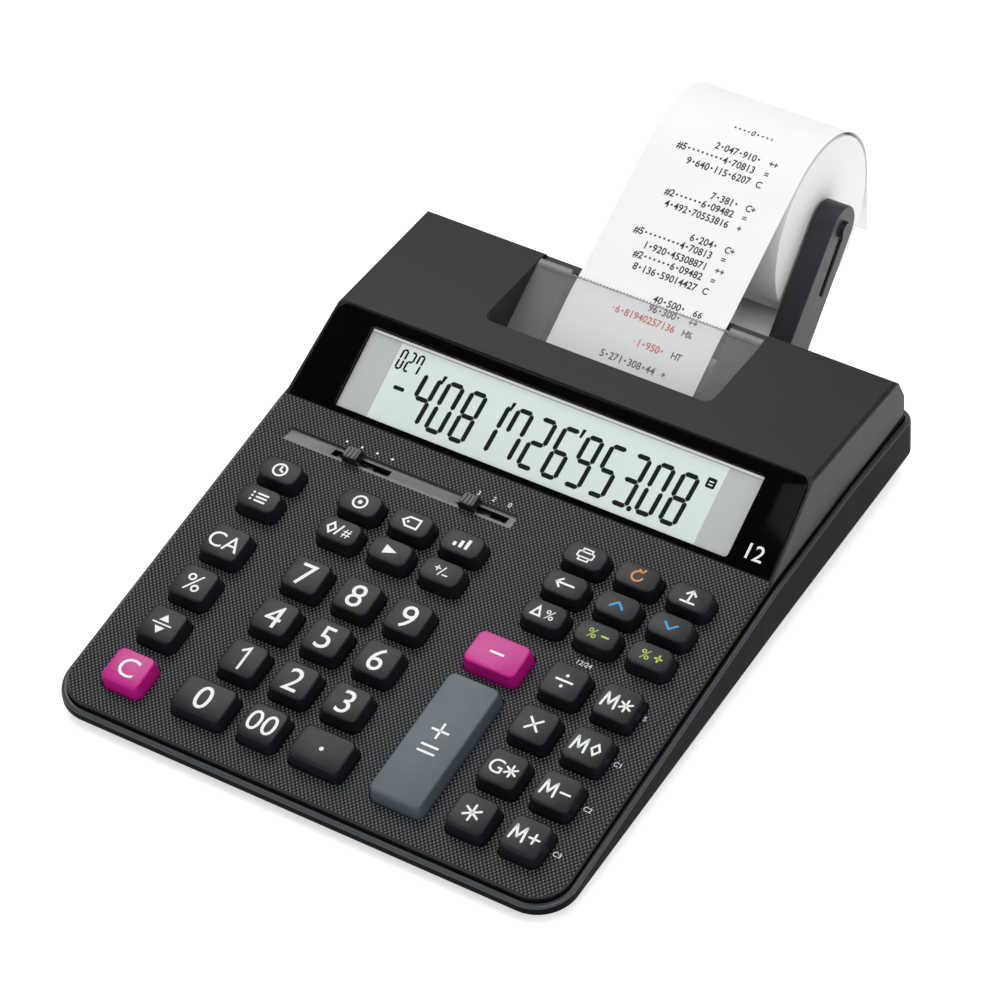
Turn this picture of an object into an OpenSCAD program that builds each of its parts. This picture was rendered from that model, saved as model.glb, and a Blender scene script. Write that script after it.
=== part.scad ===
// Printing desk calculator with a paper-roll holder, built as separate pieces.
// Case frame: x to the right, y to the rear from the front end of the deck's plane, z up from the table.
// Every node is drawn through in_place(), which puts the middle of the overall depth at y = 0.

/* [Case] */
// Width of the lower case
case_w = 193; // [190:0.5:196]
// Depth of the lower case
case_d = 236; // [235.4:0.1:237]
// Wall thickness of the mouldings
wall = 2.4; // [2:0.1:2.6]
// Width of the lower case's rim, outside the parting groove
rim_w = 1.95; // [1.8:0.05:2.2]
// Width of the groove between the two half cases
groove_w = 0.35; // [0.3:0.05:0.6]
// Corner radius at the front, seen from above
front_r = 14; // [12:0.5:16]
// Corner radius at the rear, seen from above
rear_r = 7; // [6:0.5:8]

/* [Side profile] */
// Height of the deck's plane where y is 0
deck_h = 10.3; // [10.2:0.1:11]
// Slope of the key deck, in degrees
deck_a = 6.94; // [6.8:0.02:7.1]
// Distance from the deck plane's front end to the foot of the screen
deck_d = 145.4; // [145:0.1:146]
// Slope of the screen, in degrees
screen_a = 28.3; // [27.5:0.1:29]
// Length of the screen along its slope
screen_l = 37.5; // [37:0.1:38]
// Height of the hood's rear edge
hood_rear_h = 42.1; // [41.8:0.1:42.6]
// Height of the side walls' bottom edge at the rear
skirt_h = 10; // [9.6:0.1:10.4]
// Height of the tub's bottom over the table, which the feet stand proud of
foot_h = 1.2; // [1:0.1:1.4]

/* [Keys] */
// Spacing of the number keys from left to right
key_px = 19.8; // [19.4:0.1:20]
// Spacing of the number keys along the deck
key_py = 18.8; // [18.6:0.1:19]
// Spacing of the small keys along the deck
small_py = 13.05; // [12.9:0.05:13.2]
// Width of a number key's top
key_w = 13; // [12.5:0.1:13.2]
// Length of a number key's top along the deck
key_d = 12.4; // [12:0.1:12.6]
// Height of the keys over the deck
key_h = 5.3; // [4.8:0.1:5.6]
// Travel of a key
key_travel = 2.8; // [2.4:0.1:2.8]

/* [Printer] */
// Width of the well in the hood
well_w = 87.6; // [86:0.2:88]
// Width of the paper
paper_w = 57.5; // [56:0.5:58]
// Radius of the paper roll
roll_r = 32.4; // [31:0.1:32.6]
// Radius of the roll's core bore
core_r = 7.8; // [7.7:0.1:8.2]
// Radius of the rubber platen
platen_r = 6; // [5.8:0.1:6.1]
// Slope of the clear printer cover, in degrees
cover_a = 29.4; // [29:0.1:29.8]

/* [Hidden] */
corner_steps = 10;

// ---- side profile ----
function deck_z(y) = deck_h + y * tan(deck_a);
screen_y = deck_d;
screen_z = deck_z(deck_d);
hood_y = screen_y + screen_l * cos(screen_a);
hood_z = screen_z + screen_l * sin(screen_a);
case_y = 4.9;
rear_y = case_y + case_d;
hood_rear_y = rear_y - 6.5;
rim_in_w = case_w - 2 * rim_w;
upper_w = rim_in_w - 2 * groove_w;
rim_front_y = case_y + 1.75;
rim_rear_y = rear_y - rim_w;
upper_front_y = rim_front_y + groove_w;
upper_rear_y = rim_rear_y - groove_w;
hood_w = upper_w - 5.2;
rim_drop = 2.2;
rim_mid = [196, 27.2];
rim_rear_z = 24.3;
lean_z = 28;
lap_z = 7.4;
lap_gap = 0.4;
lap_rear_z = 20;
bezel_t = 3.2;
lens_t = 1.6;

// ---- deck coordinates: v runs up the slope, n out of the deck ----
row_v = 24;
small_v = 100.9;
col_l = -74;
col_7 = -42.3;
col_r = 36.4;
right_px = 19.5;
small_w = 14.2;
small_d = 8.7;
flare = 1;
lip = 0.9;
hole_gap = 0.35;
flange_t = 0.8;
flange_n = -wall - 0.2;
mat_n = flange_n - flange_t - key_travel - 0.3;
mat_t = 0.7;
board_t = 1.2;
wide_x = 5.6;
tall_d = 2 * key_py + key_d;

// Name, centre x, centre v, top width, top length, corner radius, colour
KEYS = [
    ["key_c", col_l, row_v - 0.8, 13.5, key_d, 2.2, "mediumvioletred"],
    ["key_mu_md", col_l, row_v + key_py, key_w, key_d, 2.2, "dimgray"],
    ["key_percent", col_l, row_v + 2 * key_py, key_w, key_d, 2.2, "dimgray"],
    ["key_ca", col_l, row_v + 3 * key_py, key_w + 0.5, key_d, 2.2, "dimgray"],
    ["key_it", col_l, small_v, small_w, small_d, 3, "dimgray"],
    ["key_time", col_l, small_v + small_py, small_w, small_d, 3, "dimgray"],
    ["key_0", col_7 - wide_x / 2, row_v, key_w + wide_x, key_d, 2.2, "dimgray"],
    ["key_00", col_7 + key_px, row_v, key_w, key_d, 2.2, "dimgray"],
    ["key_point", col_7 + 2 * key_px + wide_x / 2, row_v, key_w + wide_x, key_d, 2.2, "dimgray"],
    for (i = [0:8]) [str("key_", i + 1), col_7 + (i % 3) * key_px,
        row_v + (1 + floor(i / 3)) * key_py, key_w, key_d, 2.2, "dimgray"],
    for (i = [0:5]) [["key_diamond", "key_shift", "key_sign", "key_cost", "key_sell", "key_margin"][i],
        col_7 + (i % 3) * key_px, small_v + floor(i / 3) * small_py, small_w, small_d, 3, "dimgray"],
    for (i = [0:8]) [["key_delta", "key_tax_minus", "key_tax_plus", "key_correct", "key_up",
        "key_down", "key_print", "key_reprint", "key_feed"][i], col_r + (i % 3) * right_px,
        small_v + floor(i / 3) * small_py, small_w, small_d, 3, "dimgray"],
    ["key_plus_equals", 30.6, row_v + key_py, 18.2, tall_d, 2.2, "slategray"],
    ["key_minus", 30.9, row_v + 3 * key_py, 18.6, key_d, 2.2, "mediumvioletred"],
    for (i = [0:7]) [["key_total", "key_m_plus", "key_grand_total", "key_m_minus", "key_times",
        "key_m_subtotal", "key_divide", "key_m_total"][i], col_r + (1 + i % 2) * right_px,
        row_v + floor(i / 2) * key_py, key_w, key_d, 2.2, "dimgray"]
];

// ---- slide switches ----
// Name, centre x, travel to the left, travel to the right
SWITCHES = [["switch_mode", -57.2, 6, 12], ["switch_rounding", -11.4, 0, 12]];
slot_v = 131.9;
strip_v = [129.2, 134.8];
strip_x = [-84, 5.6];
strip_depth = 1.2;
knob_w = 6.2;
knob_h = 3.4;
stem_w = 4;
stem_d = 2.4;

// ---- screen coordinates: w runs up the screen's slope ----
lens_w0 = 185.6;
lens_w1 = 181.4;
lens_from = 0.5;
lens_to = screen_l - 0.5;
window_w = 152;
window_from = 2.5;
window_to = 32.6;

// ---- printer ----
well_front_y = 193.8;
well_rear_y = 231.6;
notch_z = 40.4;
chute_z = 24;
cover_rear = [228.6, 42.6];
cover_front_y = 196.5;
cover_t = 1.5;
cover_w = well_w - 0.4;
lip_l = 2.4;
tear_w = paper_w + 4.5;
ledge_gap = 0.3;
ledge_t = 1.1;
paper_t = 0.3;
roll_w = 58;
roll_c = [297, 35.8];
web_gap = 0.5;
drape_gap = 1.2;
inlet = [240, 12.4];
inlet_z = [11.2, 18.2];
tear_point = [234.6, 42.4];
platen_c = [209.2, 22.1];
platen_w = 60;
shaft_r = 1.5;
shaft_play = 0.06;
ink_c = [196.2, 13.5];
ink_r = 5;
frame_w = 76;
frame_t = 1.5;
tail_z = 7;

// ---- roll holder ----
arm_in = 29.8;
arm_t = 8.8;
hub = [295, 39.4];
hub_r = 8.6;
spigot_r = 3.2;
spigot_l = 5.5;
holder_z = 0.6;
holder_top = 9.5;
channel_w = 3;
channel_l = 24;
channel_depth = 1.2;

// ---- tub, battery bay and fastenings ----
tub_w = 182;
tub_y = [12, 229];
tub_r = 10;
floor_t = 1.6;
floor_z = foot_h + floor_t;
bay_w = 104;
bay_y = [146, 179];
bay_roof = 19.3;
bay_wall = 1.5;
door_travel = 35;
door_t = 1.6;
pocket_z = foot_h + 1.9;
rail_w = 1.2;
boss_r = 2.8;
BOSSES = [[87.2, 22, 7.6], [87.2, 148, 14], [80, 221, 16]];
FEET = [[74, 30], [74, 212]];
foot_r = 6;
jack = [-66, 14.8];
jack_r = 2.85;
jack_l = 9;

// ---- middle of the depth, from the case's front to the paper hanging behind the roll ----
hang_y = roll_c[0] + roll_r + drape_gap + paper_t;
middle_y = (case_y + hang_y) / 2;

// ======== helpers ========

// Puts a node into the row's frame
module in_place() {
    translate([0, -middle_y, 0]) children();
}

// Points of a quarter circle
function quarter(cx, cy, r, from) =
    [for (i = [0:corner_steps]) let (a = from + 90 * i / corner_steps) [cx + r * cos(a), cy + r * sin(a)]];

// Plate with rounded corners, symmetric in x, with its own corner radius at each end
module plate(w, y0, y1, r0, r1, z0, z1) {
    translate([0, 0, z0]) linear_extrude(z1 - z0) union() {
        translate([-w / 2, y0 + r0]) square([w, y1 - y0 - r0 - r1]);
        translate([r0 - w / 2, y0]) square([w - 2 * r0, y1 - y0]);
        translate([r1 - w / 2, (y0 + y1) / 2]) square([w - 2 * r1, (y1 - y0) / 2]);
        for (s = [-1, 1]) {
            translate([s * (w / 2 - r0), y0 + r0]) circle(r0, $fn = 64);
            translate([s * (w / 2 - r1), y1 - r1]) circle(r1, $fn = 64);
        }
    }
}

// Extrudes a (y, z) outline along x, about x = 0
module along_x(points, w) {
    rotate([90, 0, 90]) linear_extrude(w, center = true) polygon(points);
}

// Extrudes an (x, z) outline along the whole depth
module along_y(points) {
    translate([0, 400, 0]) rotate([90, 0, 0]) linear_extrude(500) polygon(points);
}

// Extrudes an (x, y) outline upwards
module upwards(points, z0, z1) {
    translate([0, 0, z0]) linear_extrude(z1 - z0) polygon(points);
}

// A box from its two corners
module block(lo, hi) {
    translate(lo) cube(hi - lo);
}

// Draws in deck coordinates: x, v, n
module on_deck() {
    translate([0, 0, deck_h]) rotate([deck_a, 0, 0]) children();
}

// Draws in screen coordinates: x, w, n
module on_screen() {
    translate([0, screen_y, screen_z]) rotate([screen_a, 0, 0]) children();
}

// One ring of a loft: a rounded rectangle with four points a corner
function ring(w, d, r, n) = [for (c = [[1, 1, 0], [-1, 1, 90], [-1, -1, 180], [1, -1, 270]])
    for (i = [0:3]) let (a = c[2] + 30 * i)
        [c[0] * (w / 2 - r) + r * cos(a), c[1] * (d / 2 - r) + r * sin(a), n]];

// Closed solid through rings of equal length, from the bottom one up
module loft(rings) {
    m = len(rings[0]);
    points = [for (r = rings) each r];
    sides = [for (j = [0:len(rings) - 2]) for (i = [0:m - 1])
        [j * m + i, (j + 1) * m + i, (j + 1) * m + (i + 1) % m, j * m + (i + 1) % m]];
    bottom = [for (i = [0:m - 1]) i];
    top = [for (i = [m - 1:-1:0]) (len(rings) - 1) * m + i];
    polyhedron(points, concat(sides, [bottom], [top]));
}

// Points where the tangent from p touches a circle; side is 1 for the upper tangent, -1 for the lower
function tangent_point(p, c, r, side) =
    let (d = norm(c - p), base = atan2(c[1] - p[1], c[0] - p[0]), a = asin(r / d), l = sqrt(d * d - r * r))
    p + l * [cos(base + side * a), sin(base + side * a)];

// Angle of a point seen from a centre
function bearing(c, p) = atan2(p[1] - c[1], p[0] - c[0]);

// Points of an arc
function arc(c, r, from, to, steps) =
    [for (i = [0:steps]) let (a = from + (to - from) * i / steps) c + r * [cos(a), sin(a)]];

// Outline of a ribbon of thickness t about a path
function ribbon(path, t) = let (m = len(path) - 1,
    nrm = [for (i = [0:m]) let (d = path[min(i + 1, m)] - path[max(i - 1, 0)]) [-d[1], d[0]] / norm(d)])
    concat([for (i = [0:m]) path[i] + nrm[i] * t / 2], [for (i = [m:-1:0]) path[i] - nrm[i] * t / 2]);

// ======== upper case ========

// Side profile of the upper case, lowered by the wall thicknesses td, ts and th
function upper_profile(td, ts, th, bottom) = let (
    s = tan(deck_a), q = tan(screen_a), h = (hood_rear_h - hood_z) / (hood_rear_y - hood_y),
    d0 = deck_h - td / cos(deck_a),
    s0 = screen_z - q * screen_y - ts / cos(screen_a),
    h0 = hood_z - h * hood_y - th,
    y1 = (s0 - d0) / (s - q), y2 = (h0 - s0) / (q - h))
    concat([[-5, d0 - 5 * s], [y1, d0 + s * y1], [y2, s0 + q * y2], [260, h0 + h * 260]], bottom);

upper_outer = upper_profile(0, 0, 0,
    [[260, lap_rear_z], [deck_d, lap_rear_z], [60, lap_z + 2.8], [20, lap_z + 0.8], [-5, lap_z]]);
upper_inner = upper_profile(wall, bezel_t, wall, [[260, -5], [-5, -5]]);

// Cross-section of the upper case: the hood's sides lean in
function section(inset) = let (a = upper_w / 2 - inset, b = hood_w / 2 - inset)
    [[-a, -5], [a, -5], [a, lean_z], [b, hood_z], [b, 60], [-b, 60], [-b, hood_z], [-a, lean_z]];

// Side view of the space in front of the hood's rear wall, which leans forward
function rear_lean(inset) = let (y = upper_rear_y - inset,
    k = (upper_rear_y - hood_rear_y) / (hood_rear_h - lean_z))
    [[-6, -6], [y + k * (lean_z + 6), -6], [y - k * (62 - lean_z), 62], [-6, 62]];

module upper_solid(profile, inset) {
    intersection() {
        along_x(profile, case_w);
        along_x(rear_lean(inset), case_w);
        along_y(section(inset));
        plate(upper_w - 2 * inset, upper_front_y + inset, upper_rear_y - inset,
            front_r - rim_w - groove_w - inset, rear_r - rim_w - groove_w - inset, -5, 70);
    }
}

// Outline of the lens on the screen, grown by g
function lens_outline(g) = let (r = 4 + g, a = lens_w0 / 2 + g, b = lens_w1 / 2 + g, t = lens_to + g)
    concat([[-a, lens_from - g], [a, lens_from - g]],
        quarter(b - r, t - r, r, 0), quarter(r - b, t - r, r, 90));

module key_holes() {
    g = flare + hole_gap;
    for (k = KEYS) translate([k[1], k[2], 0])
        plate(k[3] + 2 * g, -k[4] / 2 - g, k[4] / 2 + g, k[5] + 0.9, k[5] + 0.9, -wall - 1, 1);
}

module switch_slots() {
    along_x([[strip_v[0], 0], [strip_v[1], -strip_depth], [strip_v[1], 1], [strip_v[0], 1]],
        2 * (strip_x[1] - strip_x[0]));
}

module upper_case() in_place() color([0.15, 0.16, 0.17]) {
    ledges();
    difference() {
        union() {
            difference() {
                upper_solid(upper_outer, 0);
                upper_solid(upper_inner, wall);
            }
            chute();
            posts();
        }
        on_screen() {
            upwards(lens_outline(0.15), -lens_t, 5);
            block([-window_w / 2, window_from, -6], [window_w / 2, window_to, 0]);
        }
        on_deck() {
            key_holes();
            intersection() {
                switch_slots();
                block([strip_x[0], strip_v[0] - 1, -5], [strip_x[1], strip_v[1] + 1, 5]);
            }
            for (s = SWITCHES) block([s[1] - s[2] - stem_w / 2 - 0.3, slot_v - stem_d / 2 - 0.3, -6],
                [s[1] + s[3] + stem_w / 2 + 0.3, slot_v + stem_d / 2 + 0.3, 1]);
        }
        plate(well_w, well_front_y, 300, 3.5, 3.5, notch_z, 60);
        plate(well_w, well_front_y, well_rear_y, 3.5, 1, 0, 60);
    }
}

// Walls round the printer's well, hanging from the hood
module chute() {
    intersection() {
        difference() {
            block([-well_w / 2 - 2, well_front_y - 2, chute_z], [well_w / 2 + 2, well_rear_y + 1, 60]);
            block([-well_w / 2, well_front_y, 0], [well_w / 2, well_rear_y, 70]);
        }
        upper_solid(upper_outer, 1);
    }
}

// Ledges along the well's sides, just under the clear cover
module ledges() {
    for (sx = [-1, 1]) translate([sx * (tear_w / 2 + well_w / 2 + 1) / 2, 0, 0])
        along_x([for (e = [[cover_front_y, ledge_gap], [cover_rear[0], ledge_gap],
            [cover_rear[0], ledge_gap + ledge_t], [cover_front_y, ledge_gap + ledge_t]])
            [e[0], cover_z(e[0]) - cover_drop - e[1]]], (well_w - tear_w) / 2 + 1);
}

// Posts that meet the lower case's screw bosses
module posts() {
    intersection() {
        for (b = BOSSES, sx = [-1, 1])
            translate([sx * b[0], b[1], b[2] + 0.1]) cylinder(60, boss_r, boss_r, $fn = 12);
        upper_solid(upper_profile(0.5, 0.5, 0.5, [[260, -5], [-5, -5]]), 0.5);
    }
}

// ======== lower case ========

lower_profile = [[0, 5], [20, 6.3], [150, skirt_h - 0.4], [rear_y, skirt_h], [rear_y, rim_rear_z], rim_mid,
    [deck_d, deck_z(deck_d) - rim_drop], [0, deck_z(0) - rim_drop]];
lower_inner = [[0, lap_z - lap_gap], [20, lap_z + 0.8 - lap_gap], [133, skirt_h + 2], [300, skirt_h + 2],
    [300, 60], [0, 60]];

module lower_case() in_place() color([0.13, 0.14, 0.15]) {
    difference() {
        union() {
            difference() {
                union() {
                    intersection() {
                        along_x(lower_profile, case_w + 10);
                        plate(case_w, case_y, rear_y, front_r, rear_r, 0, 60);
                    }
                    plate(tub_w, tub_y[0], tub_y[1], tub_r, tub_r, foot_h, skirt_h);
                }
                intersection() {
                    along_x(lower_inner, case_w);
                    plate(rim_in_w, rim_front_y, rim_rear_y, front_r - rim_w, rear_r - rim_w, 0, 70);
                }
                plate(tub_w - 4, tub_y[0] + 2, tub_y[1] - 2, tub_r - 2, tub_r - 2, floor_z, 50);
            }
            block([-bay_w / 2 - 4, bay_y[0] - door_travel - 3.5, floor_z - 1],
                [bay_w / 2 + 4, bay_y[1] + 4, pocket_z + 1.8]);
            block([-bay_w / 2 - bay_wall, bay_y[0] - bay_wall, floor_z],
                [bay_w / 2 + bay_wall, bay_y[1] + bay_wall, bay_roof]);
            for (b = BOSSES, sx = [-1, 1]) translate([sx * b[0], b[1], foot_h + 0.5])
                cylinder(b[2] - foot_h - 0.5, boss_r, boss_r, $fn = 12);
            translate([jack[0], rear_y - jack_l - 1, jack[1]]) block([-4.6, 0, -4.6], [4.6, jack_l, 4.6]);
        }
        block([-bay_w / 2, bay_y[0], 0], [bay_w / 2, bay_y[1], bay_roof - bay_wall]);
        door_space();
        for (b = BOSSES, sx = [-1, 1]) translate([sx * b[0], b[1], 0]) {
            cylinder(4, 2.3, 2.3, $fn = 12);
            cylinder(40, 1.2, 1.2, $fn = 12);
        }
        block([-31, rim_rear_y - 1, inlet_z[0]], [31, rear_y + 1, inlet_z[1]]);
        for (sx = [-1, 1]) translate([sx * (arm_in + arm_t / 2), tub_y[1] - 4, 0])
            block([-4.1, 0, 2.9], [4.1, 5, 8.1]);
        for (f = FEET, sx = [-1, 1]) translate([sx * f[0], f[1], 0])
            cylinder(foot_h + 0.4, foot_r + 0.2, foot_r + 0.2, $fn = 48);
        translate([jack[0], rear_y - jack_l, jack[1]]) rotate([-90, 0, 0])
            cylinder(jack_l + 5, jack_r, jack_r, $fn = 48);
    }
}

// Space of the battery door and of its rails, over its whole travel
module door_space() {
    y0 = bay_y[0] - door_travel - 2;
    y1 = bay_y[1] + 2.2;
    block([-bay_w / 2 - 2.2, y0, 0], [bay_w / 2 + 2.2, y1, pocket_z]);
    block([-bay_w / 2 - 2.2 - rail_w, y0, foot_h + 0.7], [bay_w / 2 + 2.2 + rail_w, y1, pocket_z]);
}

module battery_cover() in_place() color([0.13, 0.14, 0.15]) {
    top = foot_h + 0.1 + door_t;
    block([-bay_w / 2 - 2, bay_y[0] - 1.8, foot_h + 0.1], [bay_w / 2 + 2, bay_y[1] + 2, top]);
    block([-bay_w / 2 - 1.8 - rail_w, bay_y[0] - 1.8, foot_h + 0.9],
        [bay_w / 2 + 1.8 + rail_w, bay_y[1] + 2, top]);
}

module rubber_feet() in_place() color([0.08, 0.08, 0.08]) {
    for (f = FEET, sx = [-1, 1]) translate([sx * f[0], f[1], 0])
        cylinder(foot_h + 0.4, foot_r, foot_r, $fn = 48);
}

// ======== display ========

module display_window() in_place() color([0.02, 0.02, 0.02]) {
    on_screen() upwards(lens_outline(0), -lens_t + 0.1, 0);
}

module lcd_module() in_place() color([0.8, 0.86, 0.82]) {
    on_screen() {
        block([-79, 1.4, -bezel_t - 2.6], [79, 34, -bezel_t - 0.1]);
        block([0.3 - window_w / 2, window_from + 0.3, -bezel_t - 0.5],
            [window_w / 2 - 0.3, window_to - 0.3, -lens_t - 0.2]);
        block([-70, 4, -bezel_t - 3.8], [70, 31, -bezel_t - 2.6]);
    }
}

// ======== keys and switches ========

module keycap(k) in_place() color(k[6]) {
    w = k[3];
    d = k[4];
    r = k[5];
    base = flange_n - flange_t;
    on_deck() translate([k[1], k[2], 0]) loft([
        ring(w / 2, d / 2, 1.5, base - 0.2),
        ring(w / 2, d / 2, 1.5, base),
        ring(w + 2 * (flare + lip), d + 2 * (flare + lip), r + 0.6, base),
        ring(w + 2 * (flare + lip), d + 2 * (flare + lip), r + 0.6, flange_n),
        ring(w + 2 * flare, d + 2 * flare, r + 0.6, flange_n),
        ring(w + 2 * flare, d + 2 * flare, r + 0.6, 0),
        ring(w + 0.6, d + 0.6, r + 0.3, key_h - 0.6),
        ring(w - 0.4, d - 0.4, r - 0.2, key_h)]);
}

module slide_switch(s) in_place() color([0.12, 0.12, 0.13]) {
    on_deck() translate([s[1], slot_v, 0]) {
        block([-7, -4, flange_n - 1], [7, 4, flange_n]);
        block([-stem_w / 2, -stem_d / 2, flange_n - 0.5], [stem_w / 2, stem_d / 2, 1]);
        block([-knob_w / 2, -2.6, 0.2], [knob_w / 2, 2.9, 1.6]);
        loft([ring(knob_w, 5.5, 1.2, 1.6), ring(knob_w - 0.8, 4.8, 1, knob_h)]);
    }
}

module key_mat() in_place() color([0.35, 0.35, 0.36]) {
    on_deck() {
        block([-80, 15.8, mat_n - 0.3 - mat_t], [82, 135, mat_n - 0.3]);
        for (k = KEYS) translate([k[1], k[2], mat_n - 0.4]) cylinder(0.4, 2.6, 2.6, $fn = 8);
    }
}

module main_board() in_place() color([0.1, 0.35, 0.15]) {
    on_deck() {
        top = mat_n - 0.4 - mat_t;
        block([-80, 16.5, top - board_t], [80, 138, top]);
        block([-10, 96, top - board_t - 2], [10, 116, top - board_t]);
        block([30, 118, top - board_t - 4], [52, 130, top - board_t]);
    }
}

// ======== printer ========

cover_k = tan(cover_a);
function cover_z(y) = cover_rear[1] - cover_k * (cover_rear[0] - y);
cover_drop = cover_t / cos(cover_a);

module printer_cover() in_place() color([0.5, 0.5, 0.52, 0.5]) {
    y1 = cover_rear[0];
    z1 = cover_rear[1];
    along_x([[cover_front_y, cover_z(cover_front_y)], [cover_front_y, cover_z(cover_front_y) - cover_drop],
        [y1, z1 - cover_drop], [y1, z1]], cover_w);
    for (sx = [-1, 1]) translate([sx * (cover_w + tear_w) / 4, 0, 0])
        along_x([[y1 - 1, z1 - 1.3], [y1 + lip_l, z1 - 0.9], [y1 + lip_l, z1], [y1, z1]],
            (cover_w - tear_w) / 2);
}

// Path of the paper, from the roll's underside through the printer and over the roll
paper_gap = 0.45;
platen_wrap = platen_r + paper_gap;
function paper_path() = let (
    web_r = roll_r + web_gap + paper_t / 2,
    drape_r = roll_r + drape_gap + paper_t / 2,
    web = tangent_point(inlet, roll_c, web_r, -1),
    under = tangent_point(inlet, platen_c, platen_wrap, 1),
    rise_a = 90 + cover_a,
    over = platen_c + platen_wrap * [cos(rise_a), sin(rise_a)],
    slope = [cos(cover_a), sin(cover_a)],
    lift = over + slope * 22.5,
    drape = tangent_point(tear_point, roll_c, drape_r, 1))
    concat(
        arc(roll_c, web_r, bearing(roll_c, web) + 12, bearing(roll_c, web), 3),
        [inlet],
        arc(platen_c, platen_wrap, bearing(platen_c, under) + 360, rise_a, 14),
        [lift],
        [tear_point],
        arc(roll_c, drape_r, bearing(roll_c, drape), 0, 20),
        [[roll_c[0] + drape_r, tail_z]]);

module paper_strip() in_place() color("white") {
    along_x(ribbon(paper_path(), paper_t), paper_w);
}

module paper_roll() in_place() color("white") {
    translate([0, roll_c[0], roll_c[1]]) rotate([0, 90, 0]) difference() {
        cylinder(roll_w, roll_r, roll_r, center = true, $fn = 96);
        cylinder(roll_w + 2, core_r, core_r, center = true, $fn = 64);
    }
}

// Gear outline: trapezoidal teeth between the root and tip radii
function gear_points(teeth, root, tip) = [for (i = [0:teeth - 1])
    for (p = [[0, root], [0.22, root], [0.36, tip], [0.64, tip], [0.78, root]])
        let (a = 360 * (i + p[0]) / teeth) p[1] * [cos(a), sin(a)]];

// Draws about an x axis through the (y, z) point c, starting at x0
module about_x(c, x0) {
    translate([x0, c[0], c[1]]) rotate([0, 90, 0]) children();
}

module platen_roller() in_place() color([0.1, 0.1, 0.1]) {
    about_x(platen_c, -platen_w / 2) cylinder(platen_w, platen_r, platen_r, $fn = 64);
    about_x(platen_c, -frame_w / 2 - 2) cylinder(frame_w + 5, shaft_r, shaft_r, $fn = 48);
    about_x(platen_c, frame_w / 2 + 0.4) linear_extrude(2.2) polygon(gear_points(18, 3.8, 4.9));
}

module ink_roller() in_place() color([0.25, 0.1, 0.3]) {
    about_x(ink_c, -platen_w / 2) cylinder(platen_w, ink_r, ink_r, $fn = 64);
    about_x(ink_c, -frame_w / 2 - 1) cylinder(frame_w + 2, shaft_r, shaft_r, $fn = 48);
}

module printer_frame() in_place() color("silver") {
    difference() {
        union() {
            for (sx = [-1, 1]) translate([sx * (frame_w - frame_t) / 2, 0, 0])
                along_x([[189, floor_z], [225, floor_z], [225, 28], [214, 28], [202, 21], [189, 19.5]],
                    frame_t);
            block([-frame_w / 2, 189, floor_z], [frame_w / 2, 225, floor_z + 1.2]);
            along_x([[212, 13], [225, 11.6], [225, 10.4], [212, 11.8]], frame_w - 1);
            block([-frame_w / 2, 198.6, 19.2], [frame_w / 2, 201.6, 22.5]);
            about_x([206, 12.5], -frame_w / 2 - 22) cylinder(22, 7.5, 7.5, $fn = 64);
        }
        for (c = [platen_c, ink_c]) about_x(c, -frame_w / 2 - 1)
            cylinder(frame_w + 2, shaft_r + shaft_play, shaft_r + shaft_play, $fn = 48);
    }
}

// ======== roll holder ========

module roll_holder() in_place() color([0.12, 0.12, 0.13]) difference() {
    holder_body();
    for (x0 = [-arm_in - arm_t - 0.1, arm_in + arm_t - channel_depth])
        translate([x0, hub[0], hub[1]]) rotate([45, 0, 0]) translate([0, -channel_l, -channel_w / 2 - 1])
            cube([channel_depth + 0.1, channel_l - 3.4, channel_w]);
}

// The two arms, their feet in the case, the bridge between them, the spigots and the latch knobs
module holder_body() {
    tip_a = 46;
    arm = concat([[tub_y[1] + 0.3, holder_z], [266.6, holder_z], [270.4, 4.4]],
        arc(hub, hub_r, -tip_a - 2, 90 + tip_a - 2, 14),
        [[257.4, 16.6], [250.6, holder_top], [tub_y[1] + 0.3, holder_top]]);
    for (sx = [-1, 1]) {
        translate([sx * (arm_in + arm_t / 2), 0, 0]) along_x(arm, arm_t);
        translate([sx * (arm_in + arm_t / 2), 0, 0])
            block([-3.9, tub_y[1] - 3.5, 3.1], [3.9, tub_y[1] + 1, 7.9]);
    }
    for (x0 = [-arm_in - 2, arm_in - spigot_l])
        about_x(hub, x0) cylinder(spigot_l + 2, spigot_r, spigot_r, $fn = 48);
    for (x0 = [-arm_in - arm_t - 1.6, arm_in + arm_t - 0.1])
        about_x(hub, x0) cylinder(1.7, 3.2, 3.2, $fn = 48);
    block([-arm_in - 1, tub_y[1] + 0.3, holder_z], [arm_in + 1, 262, holder_z + 2.4]);
}

// ======== drawing ========

lower_case();
upper_case();
display_window();
lcd_module();
printer_cover();
roll_holder();
paper_roll();
paper_strip();
main_board();
key_mat();
printer_frame();
platen_roller();
ink_roller();
battery_cover();
rubber_feet();
for (s = SWITCHES) slide_switch(s);
for (k = KEYS) keycap(k);
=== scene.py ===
"""Looks of a printing desk calculator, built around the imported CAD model.

Lengths in the tables are millimetres, in one of three frames:
  case    x, y to the rear from the front end of the deck's plane, z up from the table
  deck    x, v up the key deck's slope, n out of the deck
  screen  x, w up the display's slope, n out of the display
"""

import math

import bmesh
import bpy
from mathutils import Matrix, Vector


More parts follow.
